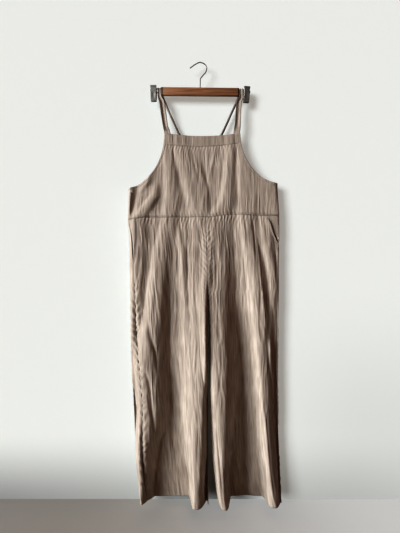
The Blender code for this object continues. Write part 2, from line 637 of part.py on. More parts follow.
def strap_foot(x, z, on_front):
    """Depth at which the strap lies flat on the inside of the bib's band, or of the back."""
    if on_front:
        return float(front_depth(x, z)) + BAND_THICK / 2 + 3 * SEAM + STRAP_THICK / 2
    return float(back_depth(x, z)) - CLOTH / 2 - 3 * SEAM - STRAP_THICK / 2


def strap_sections(side):
    """The band's cross sections: five points each, curled outward from the loop over the wire."""
    rows = strap_route(side)
    middles = [Vector((x, strap_foot(x, z, number < len(rows) / 2) if y is None else y, z))
               for number, (x, y, z, wide, curl) in enumerate(rows)]
    sections = []
    for number, (x, y, z, wide, curl) in enumerate(rows):
        before, after = middles[max(number - 1, 0)], middles[min(number + 1, len(rows) - 1)]
        ahead = (after - before).normalized()
        across = Vector((1, 0, 0)) - ahead * ahead.x
        across.normalize()
        outward = across.cross(ahead)
        section = []
        for part in (-1, -0.5, 0, 0.5, 1):
            point = middles[number] + across * part * wide / 2 + outward * curl * abs(part) ** 1.5
            if y is None:
                point.y = strap_foot(point.x, point.z, number < len(rows) / 2)
            section.append(tuple(point))
        sections.append(section)
    return np.array(sections), middles


def add_strap(side):
    sections, middles = strap_sections(side)
    reach = [0.0]
    for one, other in zip(middles, middles[1:]):
        reach.append(reach[-1] + (other - one).length)
    table = [(at, *section.ravel()) for at, section in zip(reach, sections)]
    stations = []
    for one, other in zip(reach, reach[1:]):
        steps = max(1, round((other - one) / STRAP_STEP))
        stations += [one + (other - one) * step / steps for step in range(steps)]
    grid = along(table, stations + [reach[-1]]).T.reshape(-1, 5, 3)
    add_wall("strap_" + side, with_normals(grid), STRAP_THICK)


# ---- the hanger --------------------------------------------------------------------------------
def add_wire(name, route, diameter, finish, parent):
    """A round wire through a list of points."""
    curve = bpy.data.curves.new(name, 'CURVE')
    curve.dimensions = '3D'
    curve.bevel_depth = diameter / 2
    curve.bevel_resolution = 2
    curve.use_fill_caps = True
    spline = curve.splines.new('POLY')
    spline.points.add(len(route) - 1)
    for point, place in zip(spline.points, route):
        point.co = (*place, 1)
    curve.materials.append(finish)
    wire = bpy.data.objects.new(name, curve)
    wire.parent = parent
    bpy.context.scene.collection.objects.link(wire)


def add_box(name, low, high, finish, parent):
    corners = [(x, y, z) for x in (low[0], high[0]) for y in (low[1], high[1]) for z in (low[2], high[2])]
    faces = [(0, 1, 3, 2), (4, 6, 7, 5), (0, 4, 5, 1), (2, 3, 7, 6), (0, 2, 6, 4), (1, 5, 7, 3)]
    box = add_mesh(name, corners, faces, finish, smooth=False)
    box.parent = parent
    return box


def add_bar(parent):
    x, z = BAR_MIDDLE
    bar = add_box("hanger_bar", (x - BAR_LONG / 2, -BAR_THICK / 2, z - BAR_TALL / 2),
                  (x + BAR_LONG / 2, BAR_THICK / 2, z + BAR_TALL / 2),
                  material("waxed wood", (0.262, 0.128, 0.062), 0.5), parent)
    bevel = bar.modifiers.new("round", 'BEVEL')
    bevel.width = BAR_ROUND
    bevel.segments = 3


def add_hook(parent):
    legs = [math.dist(one, other) for one, other in zip(HOOK, HOOK[1:])]
    at = [sum(legs[:number]) for number in range(len(HOOK))]
    table = [(run, *point) for run, point in zip(at, HOOK)]
    x, z = along(table, np.linspace(0, at[-1], HOOK_POINTS))
    add_wire("hanger_hook", [(float(px), 0, float(pz)) for px, pz in zip(x, z)], HOOK_WIRE,
             material("dark steel wire", (0.19, 0.19, 0.18), 0.35, 0.9), parent)


def add_bail(side, way, parent):
    """Two wires out of the bar's end, joined by a half circle beyond the clip."""
    x, half = BAR_MIDDLE[0], BAIL_APART / 2
    root = x + way * (BAR_LONG / 2 + SEAM)
    centre = x + way * (BAIL_REACH - half - BAIL_WIRE / 2)
    route = [(root, 0, BAIL_MIDDLE + half)]
    for turn in range(90, -91, -30):
        angle = math.radians(turn)
        route.append((centre + way * half * math.cos(angle), 0, BAIL_MIDDLE + half * math.sin(angle)))
    route.append((root, 0, BAIL_MIDDLE - half))
    add_wire("bail_" + side, route, BAIL_WIRE, material("zinc wire", (0.42, 0.43, 0.41), 0.4, 0.9), parent)


def add_jaw(name, x, face, parent):
    """A pressed jaw: a bent strip, with an ear folded in at each side as far as the bail's wires."""
    steel = material("pressed steel", (0.20, 0.20, 0.19), 0.42, 0.85)
    edges = (x - CLIP_WIDE / 2, x + CLIP_WIDE / 2)
    points = [(edge, face * out, BAIL_MIDDLE + up) for out, up in JAW for edge in edges]
    faces = [(2 * k, 2 * k + 1, 2 * k + 3, 2 * k + 2) for k in range(len(JAW) - 1)]
    jaw = add_mesh(name, points, faces, steel, smooth=False)
    jaw.parent = parent
    sheet = jaw.modifiers.new("sheet", 'SOLIDIFY')
    sheet.thickness = JAW_SHEET
    sheet.offset = 0
    for way in (-1, 1):
        outer, inner = x + way * CLIP_WIDE / 2, x + way * (CLIP_WIDE / 2 - JAW_SHEET)
        near, far = face * (BAIL_WIRE / 2 + SEAM), face * JAW[2][0]
        ear = add_box(name + "_ear", (min(outer, inner), min(near, far), BAIL_MIDDLE + JAW_EAR[1]),
                      (max(outer, inner), max(near, far), BAIL_MIDDLE + JAW_EAR[0]), steel, parent)
        ear.hide_render = True
        ear.display_type = 'WIRE'
        join = jaw.modifiers.new("ear", 'BOOLEAN')
        join.operation = 'UNION'
        join.object = ear


def add_clip(side, way, parent):
    x = BAR_MIDDLE[0] + way * CLIP_OUT
    rubber = material("dark rubber", (0.045, 0.043, 0.040), 0.7)
    for jaw, face in (("front", -1), ("back", 1)):
        add_jaw(f"clip_{side}_{jaw}_jaw", x, face, parent)
        near, far = face * SEAM, face * (JAW[4][0] - JAW_SHEET / 2 - SEAM)
        low = BAIL_MIDDLE + JAW[4][1]
        add_box(f"clip_{side}_{jaw}_pad", (x - PAD_WIDE / 2, min(near, far), low),
                (x + PAD_WIDE / 2, max(near, far), low + PAD_TALL), rubber, parent)
    half = CLIP_WIDE / 2 - JAW_SHEET - SEAM
    route = [(x - half, 0, BAIL_MIDDLE), (x + half, 0, BAIL_MIDDLE)]
    add_wire(f"clip_{side}_spring", route, SPRING * 2, material("zinc wire", (0.42, 0.43, 0.41), 0.4, 0.9),
             parent)


def add_hanger():
    frame = bpy.data.objects.new("hanger_tilt", None)
    frame.rotation_euler = (0, TILT, 0)
    bpy.context.scene.collection.objects.link(frame)
    add_bar(frame)
    add_hook(frame)
    for side, way in (("left", -1), ("right", 1)):
        add_bail(side, way, frame)
        add_clip(side, way, frame)


# ---- the whole part ----------------------------------------------------------------------------
add_bodice()
add_trousers()
for strap_side in ("left", "right"):
    add_binding(strap_side)
    add_strap(strap_side)
add_hanger()
bpy.context.view_layer.update()
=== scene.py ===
"""Dungarees of crinkled taupe linen, hung by their straps on a wooden clip hanger.

Metres, +Z up. The front faces -Y, and left means -X. The origin is the crest of the hanger's hook.
"""
import math
import bpy
import numpy as np
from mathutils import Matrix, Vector


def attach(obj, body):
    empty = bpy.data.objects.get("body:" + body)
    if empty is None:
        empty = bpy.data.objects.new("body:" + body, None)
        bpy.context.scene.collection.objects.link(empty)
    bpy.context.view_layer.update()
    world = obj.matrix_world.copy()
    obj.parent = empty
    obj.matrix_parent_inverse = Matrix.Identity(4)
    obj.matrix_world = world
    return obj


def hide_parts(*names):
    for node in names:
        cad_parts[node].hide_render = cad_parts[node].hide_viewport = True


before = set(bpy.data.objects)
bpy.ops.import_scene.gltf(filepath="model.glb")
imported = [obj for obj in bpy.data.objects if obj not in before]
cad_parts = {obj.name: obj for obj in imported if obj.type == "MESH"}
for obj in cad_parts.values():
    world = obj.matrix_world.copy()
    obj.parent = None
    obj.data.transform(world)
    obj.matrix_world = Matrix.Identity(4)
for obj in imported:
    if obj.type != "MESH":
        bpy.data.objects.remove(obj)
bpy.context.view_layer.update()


# ==== The room ===================================================================================
# A white wall a few centimetres behind the garment and a pale floor just below its hems. Neither is part
# of the object. From behind, the wall lets the eye through, so that the back can be seen.
def plain_paint(name, colour, roughness):
    """An even paint, to which the wall and the floor each add their own glow."""
    paint = bpy.data.materials.new(name)
    paint.use_nodes = True
    shader = paint.node_tree.nodes["Principled BSDF"]
    shader.inputs["Base Color"].default_value = (*colour, 1)
    shader.inputs["Roughness"].default_value = roughness
    return paint


def seen_only(paint, glow):
    """A glow that stands for the room's light on a surface and lights nothing else."""
    nodes, links = paint.node_tree.nodes, paint.node_tree.links
    path = nodes.new("ShaderNodeLightPath")
    both = nodes.new("ShaderNodeMath")
    both.operation = 'MULTIPLY'
    links.new(glow, both.inputs[0])
    links.new(path.outputs["Is Camera Ray"], both.inputs[1])
    links.new(both.outputs[0], nodes["Principled BSDF"].inputs["Emission Strength"])


WALL_WHITE = (0.606, 0.650, 0.656)
WALL_GLOW = 0.38


def wall_paint():
    """White paint in a bright room. It greys toward the floor, and painted shadow dims its glow behind the
    legs.
    """
    paint = plain_paint("wall paint", WALL_WHITE, 0.9)
    nodes, links = paint.node_tree.nodes, paint.node_tree.links
    shader = nodes["Principled BSDF"]

    def step(value, start, stop):
        ramp = nodes.new("ShaderNodeMapRange")
        ramp.interpolation_type = 'SMOOTHSTEP'
        ramp.inputs["From Min"].default_value = start
        ramp.inputs["From Max"].default_value = stop
        links.new(value, ramp.inputs["Value"])
        return ramp.outputs["Result"]

    def maths(operation, first, second):
        node = nodes.new("ShaderNodeMath")
        node.operation = operation
        for socket, value in zip(node.inputs, (first, second)):
            if isinstance(value, (int, float)):
                socket.default_value = value
            else:
                links.new(value, socket)
        return node.outputs[0]

    place = nodes.new("ShaderNodeTexCoord")
    parts = nodes.new("ShaderNodeSeparateXYZ")
    links.new(place.outputs["Object"], parts.inputs["Vector"])
    x, z = parts.outputs["X"], parts.outputs["Z"]
    # Painted shadow: the glow, which stands for the room's light, leaves out what lies behind the legs.
    beside = step(maths('ABSOLUTE', maths('SUBTRACT', x, 0.02), 0), 0.12, 0.22)
    above = step(z, -0.62, -0.50)
    outside_painted_shadow = maths('MAXIMUM', beside, above)
    # The wall is darker toward the floor, less so to the right, and a little darker again in the lower right
    # corner.
    unfaded = step(z, -1.58, -1.28)
    links.new(maths('ADD', maths('MULTIPLY', x, 0.30), 0.61), unfaded.node.inputs["To Min"])
    lower_right = maths('MULTIPLY', step(z, -0.75, -1.30), step(x, 0.05, 0.60))
    unfaded = maths('SUBTRACT', unfaded, maths('MULTIPLY', lower_right, 0.12))
    seen_only(paint, maths('MULTIPLY', maths('MULTIPLY', outside_painted_shadow, WALL_GLOW), unfaded))
    shader.inputs["Emission Color"].default_value = (0.975, 1.0, 0.965, 1)
    tint = nodes.new("ShaderNodeMix")
    tint.data_type = 'RGBA'
    links.new(unfaded, tint.inputs["Factor"])
    first, second = [socket for socket in tint.inputs if socket.type == 'RGBA']
    first.default_value = (0.0, 0.0, 0.0, 1)
    second.default_value = (*WALL_WHITE, 1)
    links.new([socket for socket in tint.outputs if socket.type == 'RGBA'][0], shader.inputs["Base Color"])
    # From behind, the wall is clear.
    clear = nodes.new("ShaderNodeBsdfTransparent")
    side = nodes.new("ShaderNodeNewGeometry")
    mix = nodes.new("ShaderNodeMixShader")
    links.new(side.outputs["Backfacing"], mix.inputs["Fac"])
    links.new(shader.outputs["BSDF"], mix.inputs[1])
    links.new(clear.outputs["BSDF"], mix.inputs[2])
    links.new(mix.outputs["Shader"], nodes["Material Output"].inputs["Surface"])
    return paint


def floor_paint():
    """A pale floor, dimmer toward the left."""
    paint = plain_paint("floor paint", (0.36, 0.32, 0.26), 0.8)
    nodes, links = paint.node_tree.nodes, paint.node_tree.links
    place = nodes.new("ShaderNodeTexCoord")
    parts = nodes.new("ShaderNodeSeparateXYZ")
    links.new(place.outputs["Object"], parts.inputs["Vector"])
    light = nodes.new("ShaderNodeMapRange")
    light.interpolation_type = 'SMOOTHSTEP'
    for name, value in (("From Min", -0.5), ("From Max", 0.7), ("To Min", 0.19), ("To Max", 0.54)):
        light.inputs[name].default_value = value
    links.new(parts.outputs["X"], light.inputs["Value"])
    shader = nodes["Principled BSDF"]
    shader.inputs["Emission Color"].default_value = (0.94, 0.98, 1.0, 1)
    seen_only(paint, light.outputs["Result"])
    return paint


def flat_stage(name, corners, paint):
    """A flat surface of the room, which is no part of the object."""
    mesh = bpy.data.meshes.new(name)
    mesh.from_pydata(corners, [], [(0, 1, 2, 3)])
    mesh.materials.append(paint)
    shape = bpy.data.objects.new(name, mesh)
    bpy.context.scene.collection.objects.link(shape)
    return shape


WALL_Y = 0.038
FLOOR_Z = -1.526
CEILING_Z = 4
WIDE = 6                  # of the wall and floor to each side
DEEP = 8                  # of the floor to the front and the back
wall = flat_stage("wall", [(-WIDE, WALL_Y, FLOOR_Z), (WIDE, WALL_Y, FLOOR_Z),
                           (WIDE, WALL_Y, CEILING_Z), (-WIDE, WALL_Y, CEILING_Z)], wall_paint())
floor = flat_stage("floor", [(-WIDE, -DEEP, FLOOR_Z), (WIDE, -DEEP, FLOOR_Z),
                             (WIDE, DEEP, FLOOR_Z), (-WIDE, DEEP, FLOOR_Z)], floor_paint())

CAMERA_AWAY = 1.38        # in front of the hanger's plane
CAMERA_Z = -0.702
LENS = 27.03
camera = bpy.data.objects.new("camera", bpy.data.cameras.new("camera"))
camera.location = (0, -CAMERA_AWAY, CAMERA_Z)
camera.rotation_euler = (math.radians(90), 0, 0)
camera.data.lens = LENS
camera.data.clip_start = 0.01
bpy.context.scene.collection.objects.link(camera)
bpy.context.scene.camera = camera

# The object and the room are lit apart: by lamps that shine on all but the wall and floor, or on those only.
room_only = bpy.data.collections.new("the room")
all_but_room = bpy.data.collections.new("all but the room")
for surface in (wall, floor):
    room_only.objects.link(surface)
    all_but_room.objects.link(surface)
for member in all_but_room.collection_objects:
    member.light_linking.link_state = 'EXCLUDE'


def daylight(name, towards, power, spread, lights):
    """Even light from far away, spread over as many degrees of sky, on the room only or on all but it."""
    lamp = bpy.data.objects.new(name, bpy.data.lights.new(name, 'SUN'))
    lamp.data.energy = power
    lamp.data.angle = math.radians(spread)
    lamp.data.color = (0.975, 0.992, 0.995)
    lamp.rotation_euler = Vector(towards).to_track_quat('-Z', 'Y').to_euler()
    bpy.context.scene.collection.objects.link(lamp)
    lamp.light_linking.receiver_collection = lights
    return lamp


# The window rakes across the garment. What reaches the wall comes past the room's furniture, less aslant.
# The last lamp shines through the wall and shows the back to a view from behind.
daylight("window in front", (0.81, 0.56, -0.20), 3.55, 26, all_but_room)
daylight("window at the side", (0.95, 0.30, -0.10), 2.85, 20, all_but_room)
daylight("window on the wall", (0.60, 0.78, -0.19), 2.80, 25, room_only)
behind = daylight("behind the wall", (-0.20, -0.95, -0.25), 1.0, 40, all_but_room)
behind.light_linking.blocker_collection = all_but_room


def room_air():
    """The room's own light, warm and dim. Where a view looks past the wall, it sees a pale room."""
    world = bpy.data.worlds.new("room")
    world.use_nodes = True
    nodes, links = world.node_tree.nodes, world.node_tree.links
    nodes["Background"].inputs["Color"].default_value = (1.0, 0.27, 0.02, 1)
    nodes["Background"].inputs["Strength"].default_value = 0.125
    pale = nodes.new("ShaderNodeBackground")
    pale.inputs["Color"].default_value = (0.80, 0.82, 0.81, 1)
    path = nodes.new("ShaderNodeLightPath")
    mix = nodes.new("ShaderNodeMixShader")
    links.new(path.outputs["Is Camera Ray"], mix.inputs["Fac"])
    links.new(nodes["Background"].outputs["Background"], mix.inputs[1])
    links.new(pale.outputs["Background"], mix.inputs[2])
    links.new(mix.outputs["Shader"], nodes["World Output"].inputs["Surface"])
    return world


bpy.context.scene.world = room_air()
bpy.context.scene.view_settings.view_transform = 'Standard'
bpy.context.scene.view_settings.gamma = 0.7


# ==== Trouser fronts ==============================================================================
# Two wide legs in a soft plain weave that has dried crinkled. The four panels hang in deep rounded folds;
# the fronts are sewn to the backs down the sides and inside the legs, and to each other at the centre.
SEAM = 0.0003             # clearance left along every seam
LAYER = 0.0010            # thickness of one layer of cloth
SIDE_ROUND = 0.020        # how wide the side of the hanging tube rounds over
INSEAM_ROUND = 0.010      # the same at the inside of each leg
CREST_FULL = 1.5          # above 1, a fold's crest is fuller and its flanks are steeper
CROTCH_TOP = -0.755       # where the centre seams start to turn under
CROTCH = -0.785           # where the four legs' seams meet
HEM = -1.496
WAIST_LEVEL = -0.531      # of the waist seam, where it runs straight
ROW_STEP = 0.0045         # between rows of the cloth's mesh
LEG_COLUMNS = 170         # points across a leg's panel

# Sides of the hanging garment: height, x, y.
LEFT_SIDE = (
    (-0.24, -0.2450, 0.004), (-0.44, -0.2455, 0.004), (-0.54, -0.2480, 0.004),
    (-0.61, -0.2430, 0.003), (-0.78, -0.2400, 0.001), (-0.99, -0.2355, -0.004),
    (-1.16, -0.2265, -0.012), (-1.33, -0.2170, -0.024), (-1.44, -0.2070, -0.036), (-1.50, -0.1985, -0.043),
)
RIGHT_SIDE = (
    (-0.24, 0.2645, -0.004), (-0.42, 0.2645, -0.010), (-0.54, 0.2690, -0.018),
    (-0.82, 0.2665, -0.019), (-0.99, 0.2655, -0.018), (-1.23, 0.2650, -0.019),
    (-1.33, 0.2680, -0.019), (-1.44, 0.2710, -0.029), (-1.50, 0.2735, -0.037),
)
# Centre seam above the crotch, then the inside edge of each leg: height, x, y.
CENTRE = ((-0.50, 0.0190, 0.002), (-0.65, 0.0240, -0.012), (-0.785, 0.0265, -0.030))
LEFT_INSIDE = (
    (-0.785, 0.0263, -0.030), (-0.82, 0.0262, -0.031), (-0.88, 0.0272, -0.033), (-0.99, 0.0282, -0.034),
    (-1.16, 0.0277, -0.034), (-1.33, 0.0275, -0.036), (-1.50, 0.0280, -0.045),
)
RIGHT_INSIDE = (
    (-0.785, 0.0267, -0.030), (-0.82, 0.0272, -0.031), (-0.88, 0.0290, -0.032), (-0.99, 0.0318, -0.031),
    (-1.16, 0.0335, -0.029), (-1.33, 0.0415, -0.033), (-1.44, 0.0530, -0.037), (-1.50, 0.0645, -0.041),
)
# Depth of the cloth between its folds: height, y.
FRONT_FLOOR = (
    (-0.24, -0.010), (-0.33, -0.016), (-0.53, -0.020), (-0.77, -0.016), (-1.00, -0.008), (-1.33, 0.000),
    (-1.50, 0.005),
)
BACK_FLOOR = ((-0.27, 0.012), (-0.43, 0.017), (-0.53, 0.020), (-0.77, 0.024), (-1.50, 0.025))

# Folds. Each row: height, x of the crest, width of its left flank, of its right flank, rise.
FRONT_FOLDS = {
    "from the left strap down the outer leg": (
        (-0.28, -0.108, 0.022, 0.024, 0.001), (-0.32, -0.108, 0.022, 0.022, 0.003),
        (-0.385, -0.104, 0.024, 0.030, 0.006), (-0.477, -0.101, 0.030, 0.046, 0.005),
        (-0.53, -0.108, 0.032, 0.040, 0.006), (-0.60, -0.122, 0.030, 0.044, 0.006),
        (-0.66, -0.136, 0.032, 0.050, 0.009), (-0.78, -0.151, 0.034, 0.054, 0.017),
        (-0.88, -0.160, 0.042, 0.062, 0.023), (-0.99, -0.180, 0.052, 0.078, 0.030),
        (-1.16, -0.176, 0.050, 0.082, 0.039), (-1.25, -0.190, 0.038, 0.084, 0.044),
        (-1.33, -0.208, 0.024, 0.068, 0.052), (-1.50, -0.208, 0.024, 0.044, 0.059),
    ),
    "across the bib to the waist": (
        (-0.28, -0.076, 0.018, 0.040, 0.0015), (-0.32, -0.068, 0.022, 0.055, 0.004),
        (-0.385, -0.042, 0.034, 0.070, 0.0055), (-0.477, -0.016, 0.038, 0.080, 0.006),
        (-0.53, 0.004, 0.050, 0.060, 0.005), (-0.60, 0.012, 0.060, 0.060, 0.003),
        (-0.68, 0.020, 0.060, 0.060, 0.000),
    ),
    "down the inside of the left leg": (
        (-0.50, -0.024, 0.064, 0.048, 0.000), (-0.61, -0.010, 0.078, 0.056, 0.004),
        (-0.68, 0.000, 0.084, 0.060, 0.007), (-0.73, 0.003, 0.084, 0.050, 0.010),
        (-0.78, 0.006, 0.084, 0.033, 0.014), (-0.88, 0.011, 0.088, 0.020, 0.024),
        (-0.99, 0.012, 0.092, 0.018, 0.033), (-1.10, 0.009, 0.088, 0.022, 0.044),
        (-1.16, 0.004, 0.084, 0.026, 0.050), (-1.33, -0.008, 0.054, 0.046, 0.065),
        (-1.44, -0.014, 0.026, 0.046, 0.072), (-1.50, -0.016, 0.022, 0.052, 0.080),
    ),
    "from the right of the bib down the inside of the right leg": (
        (-0.28, 0.106, 0.026, 0.018, 0.002), (-0.32, 0.104, 0.024, 0.020, 0.005),
        (-0.385, 0.098, 0.024, 0.024, 0.0055), (-0.477, 0.087, 0.030, 0.040, 0.006),
        (-0.53, 0.070, 0.050, 0.048, 0.005), (-0.61, 0.058, 0.060, 0.052, 0.007),
        (-0.68, 0.058, 0.066, 0.060, 0.010), (-0.78, 0.057, 0.074, 0.058, 0.016),
        (-0.99, 0.062, 0.066, 0.072, 0.041), (-1.16, 0.067, 0.050, 0.060, 0.054),
        (-1.33, 0.070, 0.044, 0.042, 0.067), (-1.44, 0.073, 0.038, 0.027, 0.076),
        (-1.50, 0.083, 0.034, 0.026, 0.084),
    ),
    "from the right strap down the outer leg": (
        (-0.28, 0.136, 0.020, 0.030, 0.001), (-0.32, 0.140, 0.018, 0.034, 0.003),
        (-0.385, 0.144, 0.017, 0.070, 0.0038), (-0.477, 0.145, 0.018, 0.070, 0.0032),
        (-0.53, 0.150, 0.026, 0.050, 0.005), (-0.61, 0.165, 0.034, 0.034, 0.008),
        (-0.68, 0.180, 0.036, 0.038, 0.011), (-0.78, 0.194, 0.038, 0.040, 0.016),
        (-0.88, 0.200, 0.036, 0.054, 0.024), (-0.99, 0.204, 0.032, 0.052, 0.032),
        (-1.16, 0.215, 0.032, 0.048, 0.046), (-1.33, 0.228, 0.034, 0.042, 0.059),
        (-1.44, 0.237, 0.028, 0.042, 0.067), (-1.50, 0.243, 0.028, 0.046, 0.071),
    ),
    "under the left arm": (
        (-0.42, -0.152, 0.018, 0.022, 0.000), (-0.455, -0.154, 0.018, 0.024, 0.006),
        (-0.49, -0.174, 0.026, 0.026, 0.007), (-0.54, -0.208, 0.027, 0.036, 0.006),
        (-0.62, -0.218, 0.030, 0.046, 0.006), (-0.70, -0.220, 0.020, 0.046, 0.007),
        (-0.80, -0.214, 0.018, 0.030, 0.005), (-0.92, -0.206, 0.016, 0.020, 0.000),
    ),
    "over the right hip": (
        (-0.50, 0.215, 0.025, 0.030, 0.000), (-0.61, 0.224, 0.020, 0.026, 0.005),
        (-0.68, 0.239, 0.022, 0.022, 0.007), (-0.78, 0.251, 0.022, 0.020, 0.008),
        (-0.90, 0.249, 0.020, 0.020, 0.006), (-0.99, 0.246, 0.022, 0.020, 0.008),
        (-1.08, 0.250, 0.014, 0.016, 0.005), (-1.20, 0.255, 0.014, 0.014, 0.000),
    ),
}
# Narrower creases between the folds: height, x, half width, rise (below 0 for a trough).
FRONT_CREASES = {
    "valley down the right leg": (
        (-0.55, 0.112, 0.012, 0.000), (-0.62, 0.118, 0.014, -0.003), (-0.78, 0.129, 0.018, -0.008),
        (-0.99, 0.143, 0.021, -0.015), (-1.16, 0.149, 0.023, -0.016), (-1.33, 0.153, 0.026, -0.016),
        (-1.50, 0.158, 0.028, -0.006),
    ),
    "valley down the left leg": (
        (-0.62, -0.110, 0.012, 0.000), (-0.78, -0.112, 0.016, -0.002), (-0.99, -0.104, 0.020, -0.006),
        (-1.16, -0.100, 0.023, -0.010), (-1.33, -0.094, 0.026, -0.010), (-1.42, -0.097, 0.027, -0.002),
    ),
    "hollow under the left arm": (
        (-0.425, -0.214, 0.014, -0.006), (-0.46, -0.220, 0.013, -0.009), (-0.50, -0.228, 0.010, -0.008),
        (-0.54, -0.236, 0.008, 0.000),
    ),
    "rim of the left side": (
        (-0.425, -0.2395, 0.006, 0.006), (-0.50, -0.2410, 0.005, 0.008), (-0.54, -0.2440, 0.004, 0.003),
        (-0.56, -0.2440, 0.004, 0.000),
    ),
    "edge of the left armhole, curling forward": (
        (-0.345, -0.150, 0.008, 0.000), (-0.38, -0.164, 0.010, 0.003), (-0.41, -0.176, 0.011, 0.005),
        (-0.435, -0.192, 0.010, 0.003), (-0.455, -0.204, 0.008, 0.000),
    ),
    "bib, first crease": (
        (-0.33, 0.010, 0.005, 0.000), (-0.38, 0.016, 0.006, -0.0020), (-0.44, 0.030, 0.006, -0.0016),
        (-0.49, 0.036, 0.006, -0.0022), (-0.53, 0.037, 0.006, 0.000),
    ),
    "bib, second crease": (
        (-0.29, -0.030, 0.005, 0.000), (-0.34, -0.022, 0.006, -0.0016), (-0.40, -0.006, 0.006, -0.0014),
        (-0.45, 0.002, 0.006, 0.000),
    ),
    "bib, third crease": (
        (-0.29, 0.052, 0.006, 0.000), (-0.33, 0.046, 0.006, 0.0015), (-0.39, 0.034, 0.006, 0.0012),
        (-0.43, 0.026, 0.006, 0.000),
    ),
    "left thigh": (
        (-0.56, -0.072, 0.009, 0.000), (-0.60, -0.068, 0.009, 0.0028), (-0.68, -0.062, 0.010, 0.0030),
        (-0.78, -0.056, 0.010, 0.0030), (-0.88, -0.052, 0.010, 0.0020), (-0.98, -0.050, 0.010, 0.000),
    ),
    "beside the left leg's inner fold": (
        (-0.60, -0.048, 0.007, 0.000), (-0.68, -0.041, 0.008, -0.0030), (-0.80, -0.038, 0.009, -0.0030),
        (-0.95, -0.030, 0.009, -0.0025), (-1.06, -0.022, 0.009, -0.0020), (-1.14, -0.018, 0.008, 0.000),
    ),
    "left outer leg, upper": (
        (-0.86, -0.178, 0.006, 0.000), (-0.93, -0.168, 0.007, -0.0040), (-1.00, -0.150, 0.007, -0.0050),
        (-1.06, -0.140, 0.008, 0.000),
    ),
    "left outer leg, lower": (
        (-1.04, -0.188, 0.006, 0.000), (-1.10, -0.170, 0.007, -0.0040), (-1.20, -0.160, 0.008, -0.0055),
        (-1.28, -0.150, 0.007, -0.0030), (-1.34, -0.140, 0.007, 0.000),
    ),
    "left shin": (
        (-1.14, -0.132, 0.008, 0.000), (-1.22, -0.126, 0.010, 0.0045), (-1.30, -0.108, 0.010, 0.0050),
        (-1.40, -0.092, 0.010, 0.0020), (-1.47, -0.086, 0.010, 0.000),
    ),
    "right hip pleat": (
        (-0.53, 0.178, 0.004, 0.000), (-0.57, 0.181, 0.004, -0.0030), (-0.63, 0.186, 0.004, -0.0026),
        (-0.69, 0.191, 0.005, 0.000),
    ),
    "right inner shin": (
        (-1.19, 0.053, 0.004, 0.000), (-1.26, 0.058, 0.004, -0.0030), (-1.31, 0.0615, 0.004, -0.0055),
        (-1.38, 0.067, 0.004, -0.0045), (-1.45, 0.073, 0.004, 0.000),
    ),
    "right shin, along the outer fold": (
        (-1.14, 0.207, 0.004, 0.000), (-1.22, 0.216, 0.004, 0.0035), (-1.32, 0.223, 0.004, 0.0040),
        (-1.42, 0.233, 0.004, 0.0030), (-1.49, 0.242, 0.004, 0.000),
    ),
    "right outer leg": (
        (-1.14, 0.224, 0.006, 0.000), (-1.20, 0.236, 0.006, -0.0045), (-1.28, 0.240, 0.006, -0.0050),
        (-1.36, 0.246, 0.006, -0.0040), (-1.44, 0.254, 0.006, 0.000),
    ),
    "beside the right side seam": (
        (-0.93, 0.230, 0.007, 0.000), (-0.99, 0.239, 0.007, 0.0050), (-1.08, 0.246, 0.008, 0.0050),
        (-1.16, 0.255, 0.007, 0.0055), (-1.27, 0.256, 0.007, 0.0060), (-1.36, 0.260, 0.006, 0.000),
    ),
    "right outer leg, short": (
        (-1.15, 0.262, 0.006, 0.000), (-1.19, 0.248, 0.006, -0.0055), (-1.23, 0.234, 0.006, 0.000),
    ),
    "right thigh": (
        (-0.66, 0.196, 0.004, 0.000), (-0.72, 0.204, 0.004, 0.0020), (-0.84, 0.214, 0.005, 0.0025),
        (-0.92, 0.222, 0.005, 0.000),
    ),
}
BACK_FOLDS = {
    "left edge curling forward": (
        (-0.80, -0.235, 0.030, 0.040, 0.000), (-0.99, -0.226, 0.030, 0.050, -0.009),
        (-1.16, -0.219, 0.030, 0.055, -0.020), (-1.33, -0.211, 0.030, 0.060, -0.033),
        (-1.50, -0.194, 0.040, 0.056, -0.050),
    ),
    "right edge curling forward": (
        (-0.80, 0.266, 0.040, 0.030, 0.000), (-1.16, 0.262, 0.050, 0.030, -0.012),
        (-1.33, 0.264, 0.052, 0.030, -0.024), (-1.50, 0.270, 0.050, 0.030, -0.040),
    ),
    "left shoulder blade": (
        (-0.28, -0.052, 0.030, 0.040, 0.002), (-0.40, -0.078, 0.050, 0.050, 0.006),
        (-0.53, -0.100, 0.055, 0.050, 0.007), (-0.78, -0.128, 0.050, 0.050, 0.010),
        (-1.16, -0.132, 0.045, 0.050, 0.011), (-1.50, -0.118, 0.045, 0.045, 0.012),
    ),
    "left seat": (
        (-0.45, -0.010, 0.045, 0.045, 0.000), (-0.62, -0.026, 0.050, 0.045, 0.008),
        (-0.99, -0.038, 0.050, 0.045, 0.010), (-1.50, -0.028, 0.045, 0.050, 0.009),
    ),
    "right seat": (
        (-0.42, 0.070, 0.045, 0.045, 0.002), (-0.58, 0.082, 0.050, 0.050, 0.008),
        (-0.92, 0.098, 0.050, 0.050, 0.011), (-1.50, 0.126, 0.050, 0.050, 0.010),
    ),
    "right hip": (
        (-0.50, 0.175, 0.045, 0.045, 0.002), (-0.74, 0.186, 0.050, 0.040, 0.009),
        (-1.10, 0.190, 0.045, 0.045, 0.010), (-1.50, 0.204, 0.045, 0.040, 0.006),
    ),
}

# Waist seam: x, height. It rises a little over the right leg's fold.
WAIST = (
    (-0.25, -0.5430), (-0.17, -0.5350), (-0.05, -0.5340), (0.03, -0.5330), (0.10, -0.5255), (0.14, -0.5245),
    (0.185, -0.5275), (0.27, -0.5310),
)
